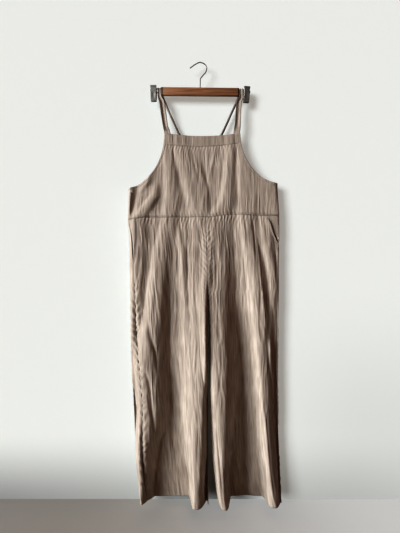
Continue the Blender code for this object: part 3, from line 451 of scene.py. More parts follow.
# Trouser side seams: height, how far the left one lies in front of the side and the right one behind it.
SEAM_TURN = {
    "left": (
        (-0.53, 0.014), (-0.57, 0.020), (-0.68, 0.025), (-0.78, 0.027), (-0.97, 0.030), (-1.08, 0.038),
        (-1.18, 0.041), (-1.28, 0.039), (-1.44, 0.036), (-1.50, 0.034),
    ),
    "right": ((-0.53, 0.000), (-0.61, 0.012), (-0.78, 0.014), (-1.44, 0.016), (-1.50, 0.012)),
}
# Pocket mouth: height, cloth between it and the side seam.
MOUTH = {
    "left": ((-0.51, 0.0310), (-0.60, 0.0180), (-0.64, 0.0090), (-0.685, 0.0030)),
    "right": (
        (-0.51, 0.0520), (-0.54, 0.0480), (-0.585, 0.0420), (-0.605, 0.0340), (-0.626, 0.0200),
        (-0.66, 0.0060), (-0.685, 0.0030),
    ),
}
MOUTH_END = -0.685


def along(rows, height):
    """Columns of a table at some heights, read off a smooth monotone curve through its rows."""
    table = np.array(rows, dtype=float)
    order = np.argsort(table[:, 0])
    at, values = table[order, 0], table[order, 1:]
    step = np.diff(at)[:, None]
    slope = np.diff(values, axis=0) / step
    tangent = np.zeros_like(values)
    same_way = slope[:-1] * slope[1:] > 0
    bottom = np.where(same_way, slope[:-1] + slope[1:], 1.0)
    tangent[1:-1] = np.where(same_way, 2 * slope[:-1] * slope[1:] / bottom, 0.0)
    tangent[0], tangent[-1] = slope[0], slope[-1]
    height = np.clip(np.asarray(height, dtype=float), at[0], at[-1])
    k = np.clip(np.searchsorted(at, height, side="right") - 1, 0, len(at) - 2)
    t = ((height - at[k]) / step[k, 0])[..., None]
    read = ((2 * t**3 - 3 * t**2 + 1) * values[k] + (t**3 - 2 * t**2 + t) * tangent[k] * step[k]
            + (3 * t**2 - 2 * t**3) * values[k + 1] + (t**3 - t**2) * tangent[k + 1] * step[k])
    return np.moveaxis(read, -1, 0)


def folded(floor, folds, x, z, forward):
    """Depth of a cloth surface: its floor, with each fold as a rounded ridge toward forward (-1) or back."""
    depth = along(floor, z)[0]
    for rows in folds.values():
        crest, left, right, rise = along(rows, z)
        flank = np.where(x < crest, left, right)
        reach = np.clip(np.abs(x - crest) / flank, 0, 1) ** CREST_FULL
        depth = depth + forward * rise * (0.5 + 0.5 * np.cos(math.pi * reach))
    return depth


def front_depth(x, z):
    """Depth of the front of the garment: its folds, and the narrower creases on them."""
    depth = folded(FRONT_FLOOR, FRONT_FOLDS, x, z, -1)
    for rows in FRONT_CREASES.values():
        middle, half, rise = along(rows, z)
        depth = depth - rise * np.exp(-((x - middle) / half) ** 2)
    return depth


def back_depth(x, z):
    """Depth of the back of the garment, with folds alone."""
    return folded(BACK_FLOOR, BACK_FOLDS, x, z, 1)


# The cloth is laid on three tubes, the body and the two legs. Each has a front and a back face, which meet
# over its rounded sides. A place on a tube is given by s, the way round it, and by its height z.
def crotch_turn(z):
    """Angle at which the inside edge starts: a quarter turn above the crotch curve, none below it."""
    drop = np.clip((CROTCH_TOP - z) / (CROTCH_TOP - CROTCH), 0, 1)
    return np.arcsin(np.sqrt(1 - drop**2))


def no_turn(z):
    """Angle at which a side's rounding starts: it is whole at every height."""
    return np.zeros_like(z)


def inside_edge(rows, way):
    """Inside edge of one leg, which above the crotch is its half of the centre seam."""
    def edge(z):
        clear = SEAM / 2 + LAYER / 2 * np.cos(crotch_turn(z))
        middle, level = along(CENTRE, z)
        x, y = along(rows, z)
        above = z > CROTCH
        return np.where(above, middle + way * clear, x + way * clear), np.where(above, level, y)
    return edge


TUBES = {
    # tube:  left edge, right edge, their rounding, the angle at which each rounding starts
    "body": (lambda z: along(LEFT_SIDE, z), lambda z: along(RIGHT_SIDE, z),
             SIDE_ROUND, SIDE_ROUND, no_turn, no_turn),
    "left": (lambda z: along(LEFT_SIDE, z), inside_edge(LEFT_INSIDE, -1),
             SIDE_ROUND, INSEAM_ROUND, no_turn, crotch_turn),
    "right": (inside_edge(RIGHT_INSIDE, 1), lambda z: along(RIGHT_SIDE, z),
              INSEAM_ROUND, SIDE_ROUND, crotch_turn, no_turn),
}


def tube_lengths(tube, z):
    """Cloth across one face of a tube: over its left rounding, straight across, over its right one."""
    left, right, round_left, round_right, turn_left, turn_right = TUBES[tube]
    start, stop = turn_left(z), turn_right(z)
    flat = right(z)[0] - left(z)[0] - round_left * np.cos(start) - round_right * np.cos(stop)
    return round_left * (math.pi / 2 - start), flat, round_right * (math.pi / 2 - stop)


def tube_points(tube, s, z):
    """Points of a tube. s runs 0 to 1 over the front from left to right, and on to 2 over the back."""
    left, right, round_left, round_right, turn_left, turn_right = TUBES[tube]
    s, z = np.broadcast_arrays(np.asarray(s, dtype=float), np.asarray(z, dtype=float))
    s = np.mod(s, 2)
    on_front = s <= 1
    q = np.where(on_front, s, 2 - s)
    (x_left, y_left), (x_right, y_right) = left(z), right(z)
    over_left, flat, over_right = tube_lengths(tube, z)
    gone = q * (over_left + flat + over_right)
    to_go = (1 - q) * (over_left + flat + over_right)
    start, stop = turn_left(z), turn_right(z)
    angle_left = np.minimum(start + gone / round_left, math.pi / 2)
    angle_right = np.minimum(stop + to_go / round_right, math.pi / 2)
    x = x_left + round_left * np.cos(start) + gone - over_left
    x = np.where(gone < over_left, x_left + round_left * (np.cos(start) - np.cos(angle_left)), x)
    x = np.where(to_go < over_right, x_right - round_right * (np.cos(stop) - np.cos(angle_right)), x)
    edge = np.where(gone < to_go, y_left, y_right)
    cap = np.sin(np.where(gone < to_go, angle_left, angle_right))
    face = np.where(on_front, front_depth(x, z), back_depth(x, z))
    return np.stack([x, edge + (face - edge) * cap, z], axis=-1)


def share(tube, cloth, z):
    """A length of cloth as a share of one face of the tube."""
    return cloth / sum(tube_lengths(tube, np.asarray(z, dtype=float)))


LAID_IN = 240             # steps in which a row's length is measured


def lay_row(tube, start, stop, spaced, dip=0.0, level=None):
    """The (s, z) of points spaced as given along the cloth from one (s, z) to another.

    The line between the two dips in the middle, or follows level(x).
    """
    t = np.linspace(0, 1, LAID_IN)
    s = start[0] + (stop[0] - start[0]) * t
    z = start[1] + (stop[1] - start[1]) * t - dip * 4 * t * (1 - t)
    if level:
        z = level(tube_points(tube, s, z)[:, 0])
    points = tube_points(tube, s, z)
    run = np.concatenate([[0], np.cumsum(np.linalg.norm(np.diff(points, axis=0), axis=1))])
    at = np.interp(spaced * run[-1], run, t)
    return np.stack([np.interp(at, t, s), np.interp(at, t, z)], axis=-1)


def side_seam(side, z):
    """The s of a trouser leg's side seam: turned to the front on the left, to the back on the right."""
    turn = share(side, along(SEAM_TURN[side], z)[0], z)
    return turn if side == "left" else 1 + turn


def front_ends(side, z):
    """Edges of a front panel: its side seam or the pocket mouth, and its centre seam or inseam."""
    seam = share(side, SEAM / 2, z)
    mouth = share(side, along(MOUTH[side], z)[0], z) if z >= MOUTH_END else seam
    if side == "left":
        return side_seam(side, z) + mouth, 1 - seam
    return seam, side_seam(side, z) - mouth


def leg_rows(side, ends, columns, bottom=HEM):
    """Rows of a leg's panel as (s, z): the first follows the waist seam, the last lies level."""
    spaced = np.linspace(0, 1, columns)
    rows = []
    for part in np.linspace(0, 1, round((WAIST_LEVEL - bottom) / ROW_STEP) + 1):
        z = WAIST_LEVEL + (bottom - WAIST_LEVEL) * part
        rows.append(lay_row(side, *[(s, z) for s in ends(side, z)], spaced,
                            level=lambda x: (along(WAIST, x)[0] - SEAM / 2) * (1 - part) + bottom * part))
    return np.stack(rows)


def outward(points):
    """Unit normals of a grid of points, facing out of the garment."""
    normal = np.cross(np.gradient(points, axis=0), np.gradient(points, axis=1))
    return normal / np.linalg.norm(normal, axis=2, keepdims=True)


def wander(u, v, cell_u, cell_v, seed):
    """Smooth random heights, -1 to 1, that change over cell_u across the cloth and cell_v down it."""
    many_u, many_v = 128, 64
    table = np.random.default_rng(seed).uniform(-1, 1, (many_u, many_v))
    a, b = u / cell_u + 500.37, v / cell_v + 500.11     # moved on, so that no count is below 0
    i, j = np.floor(a).astype(int), np.floor(b).astype(int)
    p, q = a - i, b - j
    p, q = p * p * (3 - 2 * p), q * q * (3 - 2 * q)

    def read(m, n):
        return table[(i + m) % many_u, (j + n) % many_v]
    return (read(0, 0) * (1 - p) + read(1, 0) * p) * (1 - q) + (read(0, 1) * (1 - p) + read(1, 1) * p) * q


def edge_distance(points, side):
    """How far along the cloth each point of a grid lies from its left, right, top or bottom edge."""
    axis = 1 if side in ("left", "right") else 0
    run = np.linalg.norm(np.diff(points, axis=axis), axis=2).cumsum(axis=axis)
    run = np.insert(run, 0, 0, axis=axis)
    if side in ("right", "bottom"):
        run = np.take(run, [-1], axis=axis) - run
    return run


# Crinkles of the dried cloth: pitch across it, length down it, height, and for their sways how far sideways.
WIDE_SWAY = (0.06, 0.14, 0.0070)
SMALL_SWAY = (0.02, 0.06, 0.0022)
FINE = (0.0068, 0.055, 0.0009)
MIDDLING = (0.0115, 0.100, 0.0008)
BROAD = (0.026, 0.120, 0.0008)
SEAM_HOLDS = 0.012        # how far into the panel its seams hold the crinkle down
SEAM_DRAWS = 0.0055       # how wide a seam draws the cloth in
SEAM_SHADE_WIDE = 0.0022        # how wide the shade painted in it is


def crinkled(tube, rows, seed, strength=1.0, puckers=None):
    """Points, threads and painted shade of a panel, with the relief of crinkled linen, which dies out at its
    seams.

    The puckers name edges and say how deep each one's seam is drawn in and below what height, how high its
    ripples are and below what height, how far they reach, their pitch and their lean.
    """
    s, z = rows[..., 0], rows[..., 1]
    points = tube_points(tube, s, z)
    s = np.mod(s, 2)
    u = np.where(s <= 1, s, 2 - s) * sum(tube_lengths(tube, z)) + (0.5 if tube == "right" else 0)
    v = -z
    sway = WIDE_SWAY[2] * wander(u, v, *WIDE_SWAY[:2], seed + 9)
    sway = sway + SMALL_SWAY[2] * wander(u, v, *SMALL_SWAY[:2], seed + 8)
    fine = 1 - 2 * np.abs(wander(u + sway, v, *FINE[:2], seed))
    middling = 1 - 2 * np.abs(wander(u + sway, v, *MIDDLING[:2], seed + 1))
    broad = wander(u + sway, v, *BROAD[:2], seed + 2)
    relief = FINE[2] * fine + MIDDLING[2] * middling + BROAD[2] * broad
    nearest = np.minimum.reduce([edge_distance(points, side) for side in ("left", "right", "top", "bottom")])
    relief = relief * strength * (0.15 + 0.85 * np.clip(nearest / SEAM_HOLDS, 0, 1))
    # Painted shade and highlight: the crinkles are darker in their troughs and lighter on their ridges.
    shade = 1 + 0.10 * fine + 0.05 * middling
    for side, pucker in (puckers or {}).items():
        away = edge_distance(points, side)
        down = v if side in ("left", "right") else u
        beat = (down + pucker["lean"] * away) / pucker["pitch"]
        beat = beat + 0.6 * wander(down, away, 0.05, 1.0, seed + 5)
        wave = np.sin(2 * math.pi * beat) * (0.6 + 0.4 * wander(down, away, 0.03, 1.0, seed + 6))
        drawn = pucker["drawn"] * np.clip((pucker["drawn_below"] - z) / 0.04, 0, 1)
        ripple = pucker["ripple"] * np.clip((pucker["ripple_below"] - z) / 0.05, 0, 1)
        relief = relief - drawn * np.exp(-(away / SEAM_DRAWS) ** 2)
        relief = relief + (ripple * wave * np.exp(-(away / pucker["reach"]) ** 2)
                           * np.clip(away / 0.002, 0.3, 1))
        # Painted shade in each seam, the darker the deeper it is drawn in.
        shade = shade * (1 - min(pucker["drawn"] / 0.008, 0.6) * np.exp(-(away / SEAM_SHADE_WIDE) ** 2))
    return points + outward(points) * relief[..., None], (u, v), shade


def linen():
    """Taupe linen, furrowed down its length and slubbed both ways, dyed a little unevenly, with shade painted
    into its colour.
    """
    cloth = bpy.data.materials.get("taupe linen")
    if cloth:
        return cloth
    cloth = bpy.data.materials.new("taupe linen")
    cloth.use_nodes = True
    nodes, links = cloth.node_tree.nodes, cloth.node_tree.links
    shader = nodes["Principled BSDF"]
    shader.inputs["Roughness"].default_value = 0.88
    shader.inputs["Sheen Weight"].default_value = 0.06
    shader.inputs["Sheen Roughness"].default_value = 0.55
    shader.inputs["Sheen Tint"].default_value = (0.85, 0.78, 0.70, 1)
    shader.inputs["Specular IOR Level"].default_value = 0.25
    cut = nodes.new("ShaderNodeUVMap")
    cut.uv_map = "cut"
    # The map is in metres, so a scale is a number of spots to the metre, across the cloth and down it.

    def streaks(scale_u, scale_v, detail):
        stretch = nodes.new("ShaderNodeMapping")
        stretch.inputs["Scale"].default_value = (scale_u, scale_v, 1)
        links.new(cut.outputs["UV"], stretch.inputs["Vector"])
        noise = nodes.new("ShaderNodeTexNoise")
        noise.inputs["Scale"].default_value = 1
        noise.inputs["Detail"].default_value = detail
        links.new(stretch.outputs["Vector"], noise.inputs["Vector"])
        return noise.outputs["Fac"]

    def coloured(sockets, name):
        return [socket for socket in sockets if socket.name == name and socket.type == 'RGBA'][0]

    def blend(mode, factor, first, second):
        mix = nodes.new("ShaderNodeMix")
        mix.data_type, mix.blend_type = 'RGBA', mode
        for target, value in ((mix.inputs["Factor"], factor), (coloured(mix.inputs, "A"), first),
                              (coloured(mix.inputs, "B"), second)):
            if isinstance(value, (tuple, int)):
                target.default_value = value
            else:
                links.new(value, target)
        return coloured(mix.outputs, "Result")

    furrow = streaks(240, 14, 3)
    slub = streaks(900, 60, 2)
    cross_slub = streaks(40, 1400, 2)
    tone = blend('MIX', streaks(9, 5, 2), (0.394, 0.346, 0.301, 1), (0.454, 0.403, 0.354, 1))
    # Painted shade: the colour darkens in the furrows' grooves and lightens on their ridges, along with the
    # bump.
    ramp = nodes.new("ShaderNodeValToRGB")
    ramp.color_ramp.elements[0].position, ramp.color_ramp.elements[1].position = 0.38, 0.62
    ramp.color_ramp.elements[0].color = (0.80, 0.78, 0.76, 1)
    ramp.color_ramp.elements[1].color = (1.08, 1.09, 1.10, 1)
    links.new(furrow, ramp.inputs["Fac"])
    dye_and_furrow_shade = blend('MULTIPLY', 1, tone, ramp.outputs["Color"])
    # The pieces' shade attribute paints shade, and a little highlight, into the colour: in crinkles, seams,
    # pressed rows and strap edges.
    painted_shade = nodes.new("ShaderNodeAttribute")
    painted_shade.attribute_name = "shade"
    links.new(blend('MULTIPLY', 1, dye_and_furrow_shade, painted_shade.outputs["Color"]), shader.inputs["Base Color"])

    height = None
    for source, weight in ((furrow, 1.0), (slub, 0.25), (cross_slub, 0.35)):
        part = nodes.new("ShaderNodeMath")
        part.operation = 'MULTIPLY'
        part.inputs[1].default_value = weight
        links.new(source, part.inputs[0])
        if height is None:
            height = part.outputs[0]
        else:
            both = nodes.new("ShaderNodeMath")
            links.new(height, both.inputs[0])
            links.new(part.outputs[0], both.inputs[1])
            height = both.outputs[0]
    bump = nodes.new("ShaderNodeBump")
    bump.inputs["Strength"].default_value = 0.8
    bump.inputs["Distance"].default_value = 0.0014
    links.new(height, bump.inputs["Height"])
    links.new(bump.outputs["Normal"], shader.inputs["Normal"])
    return cloth


def grid_quads(rows, columns):
    """Faces between the neighbouring points of a grid."""
    index = np.arange(rows * columns).reshape(rows, columns)
    return np.stack([index[:-1, :-1], index[1:, :-1], index[1:, 1:], index[:-1, 1:]], axis=-1).reshape(-1, 4)


def cloth_piece(node, points, threads, shade, thick=LAYER):
    """A layer of cloth on a grid of points, its UV map the way its threads run, for one node of the frame."""
    quads = grid_quads(*points.shape[:2])
    mesh = bpy.data.meshes.new(node)
    mesh.from_pydata(points.reshape(-1, 3).tolist(), [], quads.tolist())
    mesh.shade_smooth()
    layer = mesh.uv_layers.new(name="cut")
    flat = np.stack([threads[0], -threads[1]], axis=-1).reshape(-1, 2)
    layer.data.foreach_set("uv", flat[quads.ravel()].ravel())
    # The shade painted into the cloth's colour.
    painted_shade = mesh.attributes.new("shade", 'FLOAT', 'POINT')
    painted_shade.data.foreach_set("value", np.ascontiguousarray(shade, dtype=np.float32).ravel())
    mesh.materials.append(linen())
    piece = bpy.data.objects.new(node + "_cloth", mesh)
    bpy.context.scene.collection.objects.link(piece)
    layer = piece.modifiers.new("layer", 'SOLIDIFY')
    layer.thickness = thick
    layer.offset = 0
    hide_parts(node)
    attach(piece, "root")
    return piece


STITCH_PITCH = 0.0030
STITCH = 0.0021
THREAD = 0.00045
HEM_TURNED = 0.020        # the hems are turned up inside by this much and sewn down
MOUTH_SEWN = 0.006        # the row of stitches along the pocket mouth, from its edge


def stitch_tree():
    """A node tree that turns a line into a row of stitches, each a short straight length of thread."""
    tree = bpy.data.node_groups.get("row of stitches")
    if tree:
        return tree
    tree = bpy.data.node_groups.new("row of stitches", 'GeometryNodeTree')
    tree.interface.new_socket("Line", in_out='INPUT', socket_type='NodeSocketGeometry')
    for name in ("Pitch", "Length", "Thread"):
        tree.interface.new_socket(name, in_out='INPUT', socket_type='NodeSocketFloat')
    tree.interface.new_socket("Material", in_out='INPUT', socket_type='NodeSocketMaterial')
    tree.interface.new_socket("Stitches", in_out='OUTPUT', socket_type='NodeSocketGeometry')
    nodes, links = tree.nodes, tree.links
    given, made = nodes.new("NodeGroupInput"), nodes.new("NodeGroupOutput")
    line = nodes.new("GeometryNodeMeshToCurve")
    links.new(given.outputs["Line"], line.inputs["Mesh"])
    places = nodes.new("GeometryNodeCurveToPoints")
    places.mode = 'LENGTH'
    links.new(line.outputs["Curve"], places.inputs["Curve"])
    links.new(given.outputs["Pitch"], places.inputs["Length"])
    turn = nodes.new("FunctionNodeAlignRotationToVector")
    turn.axis = 'Z'
    links.new(places.outputs["Tangent"], turn.inputs["Vector"])
    half = nodes.new("ShaderNodeMath")
    half.operation = 'MULTIPLY'
    half.inputs[1].default_value = 0.5
    links.new(given.outputs["Thread"], half.inputs[0])
    stitch = nodes.new("GeometryNodeMeshCylinder")
    stitch.inputs["Vertices"].default_value = 6
    links.new(half.outputs[0], stitch.inputs["Radius"])
    links.new(given.outputs["Length"], stitch.inputs["Depth"])
    row = nodes.new("GeometryNodeInstanceOnPoints")
    links.new(places.outputs["Points"], row.inputs["Points"])
    links.new(stitch.outputs["Mesh"], row.inputs["Instance"])
    links.new(turn.outputs["Rotation"], row.inputs["Rotation"])
    real = nodes.new("GeometryNodeRealizeInstances")
    links.new(row.outputs["Instances"], real.inputs["Geometry"])
    coloured = nodes.new("GeometryNodeSetMaterial")
    links.new(real.outputs["Geometry"], coloured.inputs["Geometry"])
    links.new(given.outputs["Material"], coloured.inputs["Material"])
    links.new(coloured.outputs["Geometry"], made.inputs["Stitches"])
    return tree


def sewing_thread():
    """Spun thread, a shade darker than the linen."""
    thread = bpy.data.materials.get("taupe thread")
    if thread:
        return thread
    thread = bpy.data.materials.new("taupe thread")
    thread.use_nodes = True
    nodes, links = thread.node_tree.nodes, thread.node_tree.links
    nodes["Principled BSDF"].inputs["Roughness"].default_value = 0.6
    place = nodes.new("ShaderNodeTexCoord")
    twist = nodes.new("ShaderNodeTexNoise")
    twist.inputs["Scale"].default_value = 900
    links.new(place.outputs["Object"], twist.inputs["Vector"])
    tone = nodes.new("ShaderNodeValToRGB")
    tone.color_ramp.elements[0].color = (0.24, 0.20, 0.17, 1)
    tone.color_ramp.elements[1].color = (0.40, 0.35, 0.31, 1)
    links.new(twist.outputs["Fac"], tone.inputs["Fac"])
    links.new(tone.outputs["Color"], nodes["Principled BSDF"].inputs["Base Color"])
    return thread


def sewn_line(points, side, away, thick=LAYER):
    """The line on a piece's face that runs along one of its edges, so far in from it."""
    face = points + outward(points) * thick / 2
    face = face if side in ("left", "right") else face.swapaxes(0, 1)
    face = face[:, ::-1] if side in ("right", "bottom") else face
    line = []
    for thread in face:
        run = np.concatenate([[0], np.cumsum(np.linalg.norm(np.diff(thread, axis=0), axis=1))])
        line.append([np.interp(away, run, thread[:, axis]) for axis in range(3)])
    return np.array(line)


def stitches(name, lines):
    """Rows of stitches along lines of points, made by the node tree and kept as a plain mesh."""
    points, edges = [], []
    for line in lines:
        edges += [(len(points) + k, len(points) + k + 1) for k in range(len(line) - 1)]
        points += [tuple(point) for point in line]
    mesh = bpy.data.meshes.new(name)
    mesh.from_pydata(points, edges, [])
    rows = bpy.data.objects.new(name, mesh)
    bpy.context.scene.collection.objects.link(rows)
    sewing = rows.modifiers.new("stitches", 'NODES')
    sewing.node_group = stitch_tree()
    values = {"Pitch": STITCH_PITCH, "Length": STITCH, "Thread": THREAD, "Material": sewing_thread()}
    for socket in sewing.node_group.interface.items_tree:
        if socket.name in values:
            sewing[socket.identifier] = values[socket.name]
    seen = rows.evaluated_get(bpy.context.evaluated_depsgraph_get())
    made = bpy.data.meshes.new_from_object(seen)
    rows.modifiers.remove(sewing)
    rows.data = made
    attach(rows, "root")
    return rows


SIDE_PUCKERS = {"drawn": 0.0050, "drawn_below": -0.66, "ripple": 0.0034, "ripple_below": -0.74,
                "reach": 0.016, "pitch": 0.027, "lean": 1.0}
INSEAM_PUCKERS = {"drawn": 0.0006, "drawn_below": -0.73, "ripple": 0.0013, "ripple_below": -0.55,
                  "reach": 0.022, "pitch": 0.018, "lean": 1.0}
WAIST_PUCKERS = {"drawn": 0.0009, "drawn_below": 0, "ripple": 0.0011, "ripple_below": 0,
                 "reach": 0.030, "pitch": 0.012, "lean": 0.4}
# Where the right pocket's mouth stands open: the height of its widest place, how tall and wide it gapes.
GAPE_Z = -0.575
GAPE_TALL = 0.030
GAPE_WIDE = 0.008
for side, inner, seed, lifted in (("left", "right", 11, 0.0), ("right", "left", 12, 0.0036)):
    rows = leg_rows(side, front_ends, LEG_COLUMNS)
    points, threads, shade = crinkled(
        side, rows, seed, puckers={side: SIDE_PUCKERS, inner: INSEAM_PUCKERS, "top": WAIST_PUCKERS})
    gaping = np.exp(-(edge_distance(points, side) / GAPE_WIDE) ** 2)
    gaping = gaping * np.exp(-((rows[..., 1] - GAPE_Z) / GAPE_TALL) ** 4)
    points = points + outward(points) * (lifted * gaping)[..., None]
    mouth = sewn_line(points, side, MOUTH_SEWN)
    sewn = stitches(f"trouser_front_{side}_stitches",
                    [sewn_line(points, "bottom", HEM_TURNED), mouth[mouth[:, 2] > MOUTH_END]])
    front = cloth_piece("trouser_front_" + side, points, threads, shade)


# ==== Trouser backs ==============================================================================
# The two back panels, cut from the same linen. They lie flatter, with broad low folds, and toward the hem
# they curl forward at the sides. They are sewn to the fronts, to the back bodice and to each other.
def back_ends(side, z):
    """Edges of a back panel as one looks at the back: its left one first."""
    seam = share(side, SEAM / 2, z)
    if side == "left":
        return 1 + seam, 2 + side_seam(side, z) - seam
    return side_seam(side, z) + seam, 2 - seam


for side, outer, seed in (("left", "right", 13), ("right", "left", 14)):
    rows = leg_rows(side, back_ends, LEG_COLUMNS)
    points, threads, shade = crinkled(
        side, rows, seed, puckers={outer: SIDE_PUCKERS, side: INSEAM_PUCKERS, "top": WAIST_PUCKERS})
    sewn = stitches(f"trouser_back_{side}_stitches", [sewn_line(points, "bottom", HEM_TURNED)])
    back = cloth_piece("trouser_back_" + side, points, threads, shade)


# ==== Pockets ====================================================================================
# Slant pockets in the side seams: behind each mouth lies a facing of the same cloth, sewn into the side seam,
# and between it and the front a bag of thinner cloth, sewn to the front's edge.
POCKET_REACH = 0.135      # how far in from the side seam the pocket reaches
POCKET_BOTTOM = -0.760
FACING_SUNK = 0.0065      # how far behind the front a facing lies
FACING_SINKS_IN = 0.014   # over this much cloth, inward from the mouth
BAG_SUNK = 0.0042
FACING_THICK = 0.0009
BAG_THICK = 0.0007
FACING_PUCKERS = {"drawn": 0.0030, "drawn_below": -0.57, "ripple": 0.0012, "ripple_below": -0.62,
                  "reach": 0.014, "pitch": 0.022, "lean": 1.0}


def facing_ends(side, z):
    """Edges of a facing, from the side seam to as far in as the bag reaches."""
    seam = share(side, SEAM / 2, z)
    deep = share(side, POCKET_REACH, z)
    if side == "left":
        return side_seam(side, z) + seam, side_seam(side, z) + deep
    return side_seam(side, z) - deep, side_seam(side, z) - seam


def bag_ends(side, z):
    """Edges of a bag, from just inside the front's edge to as far in as the facing reaches."""
    start = share(side, along(MOUTH[side], z)[0] + 0.006, z)
    deep = share(side, POCKET_REACH - 0.002, z)
    if side == "left":
        return side_seam(side, z) + start, side_seam(side, z) + deep
    return side_seam(side, z) - deep, side_seam(side, z) - start


for side, seed, gape in (("left", 11, 0.003), ("right", 12, 0.008)):
    rows = leg_rows(side, facing_ends, 60, bottom=POCKET_BOTTOM)
    points, threads, shade = crinkled(side, rows, seed, 0.6, puckers={side: FACING_PUCKERS})
    past_mouth = edge_distance(points, side) - along(MOUTH[side], rows[..., 1])[0]
    sunk = FACING_SUNK * np.clip((past_mouth + gape) / FACING_SINKS_IN, 0, 1)
    points = points - outward(points) * sunk[..., None]
    facing = cloth_piece("pocket_facing_" + side, points, threads, shade, FACING_THICK)
    rows = leg_rows(side, bag_ends, 45, bottom=POCKET_BOTTOM + 0.003)
    points, threads, shade = crinkled(side, rows, seed, 0.6)
    points = points - outward(points) * BAG_SUNK
    bag = cloth_piece("pocket_bag_" + side, points, threads, shade, BAG_THICK)


# ==== Bib, band and back bodice ==================================================================
# The bib is cut away round the arms and finished at its top with a band of the same linen. The back has no
# band and starts lower. Both are sewn to the trousers at the waist, with a second row of stitches above it.
ARMHOLES = {
    # side:  x of the bib's corner, x of the back's corner, height of the underarm
    "left": (-0.1224, -0.0650, -0.4350),
    "right": (0.1380, 0.0650, -0.4180),
}
BIB_TOP = -0.246          # height of the bib's top corners
BAND_TALL = 0.037         # height of the turned band along the bib's top
BIB_DIP = 0.010           # how far the bib's top sags between its straps
BACK_TOP = -0.280         # height of the back's top edge
BINDING = 0.0070          # visible width of the armhole binding
ARM_ROWS = 14             # guide rows beside the armholes, closer together toward the underarm
UNDER_ARM_ROWS = 2        # guide rows between the armholes and the waist seam
BODICE_COLUMNS = 300
BAND_ROWS = 9
BAND_COLUMNS = 150
BAND_THICK = 0.0012
BAND_SEWN = 0.002         # the band's row of stitches, from its lower edge
WAIST_SEWN = 0.0052       # the second row of stitches, from the waist seam
PRESSED_WIDE = 0.0014     # how wide and how deep that row presses the cloth in, and how much shade is painted in it
PRESSED_DEEP = 0.0004
PRESSED_SHADE = 0.18
BODICE_PUCKERS = {
    "bottom": {"drawn": 0.0006, "drawn_below": 0, "ripple": 0.0006, "ripple_below": 0,
               "reach": 0.018, "pitch": 0.012, "lean": 0.3},
    "top": {"drawn": 0, "drawn_below": 0, "ripple": 0.0008, "ripple_below": 0,
            "reach": 0.020, "pitch": 0.010, "lean": 0.3},
}


def arm_edge(side, angle, grow, back=False):
    """A point (s, z) on an armhole, a quarter ellipse on the cloth laid flat, or grow outside it."""
    bib_corner, back_corner, underarm = ARMHOLES[side]
    edge = along(LEFT_SIDE if side == "left" else RIGHT_SIDE, underarm)[0]
    corner, top = (back_corner, BACK_TOP) if back else (bib_corner, BIB_TOP)
    wide = abs(edge - corner) + (math.pi / 2 - 1) * SIDE_ROUND + grow
    tall = top - underarm + grow
    turn = math.radians(angle)
    z = top - tall * math.sin(turn)
    cloth = share("body", max(wide * math.cos(turn), SEAM / 2), z)
    if side == "left":
        return (2 - cloth if back else cloth), z
    return (1 + cloth if back else 1 - cloth), z


BAND_ANGLE = math.degrees(math.asin(BAND_TALL / (BIB_TOP - ARMHOLES["left"][2])))


def bodice_rows(back, columns):
    """Rows of the front or back bodice as (s, z), from the band seam or back's top edge to the waist seam."""
    spaced = np.linspace(0, 1, columns)
    order = ("right", "left") if back else ("left", "right")
    first = 0 if back else BAND_ANGLE
    angles = np.linspace(0, 1, ARM_ROWS) ** 0.85 * (90 - first) + first
    ends = [[arm_edge(side, angle, BINDING + SEAM, back) for side in order] for angle in angles]
    bottom = along(WAIST, 0.02)[0] + SEAM / 2
    middle = ends[0][0][1]
    guides = []
    for number, (start, stop) in enumerate(ends):
        level = (start[1] + stop[1]) / 2
        rows_left = len(ends) + UNDER_ARM_ROWS + 1 - number
        even = middle - (middle - bottom) / rows_left if number else level
        middle = min(level - (0 if back else BIB_DIP), even)
        guides.append(lay_row("body", start, stop, spaced, level - middle))
    lowest = guides[-1][::-1] if back else guides[-1]
    lowest_x = tube_points("body", lowest[:, 0], lowest[:, 1])[:, 0]
    for number in range(1, UNDER_ARM_ROWS + 2):
        def easing(x, part=number / (UNDER_ARM_ROWS + 1)):
            return (1 - part) * np.interp(x, lowest_x, lowest[:, 1]) + part * (along(WAIST, x)[0] + SEAM / 2)
        guides.append(lay_row("body", *ends[-1], spaced, level=easing))
    guides = np.stack(guides)
    run = np.concatenate([[0], np.cumsum(np.abs(np.diff(guides[..., 1], axis=0)).mean(axis=1))])
    table = np.concatenate([run[:, None], guides.reshape(len(guides), -1)], axis=1)
    fine = along(table, np.linspace(0, run[-1], round(run[-1] / ROW_STEP) + 1))
    return np.moveaxis(fine.reshape(columns, 2, -1), -1, 0)


bodice = []
for node, back, seed, area in (("bib_front", False, 17, 0.0985), ("back_bodice", True, 18, 0.0825)):
    rows = bodice_rows(back, BODICE_COLUMNS)
    points, threads, shade = crinkled("body", rows, seed, 0.6, puckers=BODICE_PUCKERS)
    pressed = np.exp(-((edge_distance(points, "bottom") - WAIST_SEWN) / PRESSED_WIDE) ** 2)
    points = points - outward(points) * (PRESSED_DEEP * pressed)[..., None]
    sewn = stitches(node + "_stitches", [sewn_line(points, "bottom", WAIST_SEWN)])
    # Painted shade in the pressed row.
    piece = cloth_piece(node, points, threads, shade * (1 - PRESSED_SHADE * pressed))
    bodice.append((piece, area, [sewn]))

band = []
for angle in np.linspace(0, BAND_ANGLE, BAND_ROWS):
    start, stop = (arm_edge(side, angle, BINDING + SEAM) for side in ("left", "right"))
    band.append(lay_row("body", start, stop, np.linspace(0, 1, BAND_COLUMNS), BIB_DIP))
points, threads, shade = crinkled("body", np.stack(band), 19, 0.5)
sewn = stitches("bib_band_stitches", [sewn_line(points, "bottom", BAND_SEWN, BAND_THICK)])
piece = cloth_piece("bib_band", points, threads, 0.93 * shade, BAND_THICK)


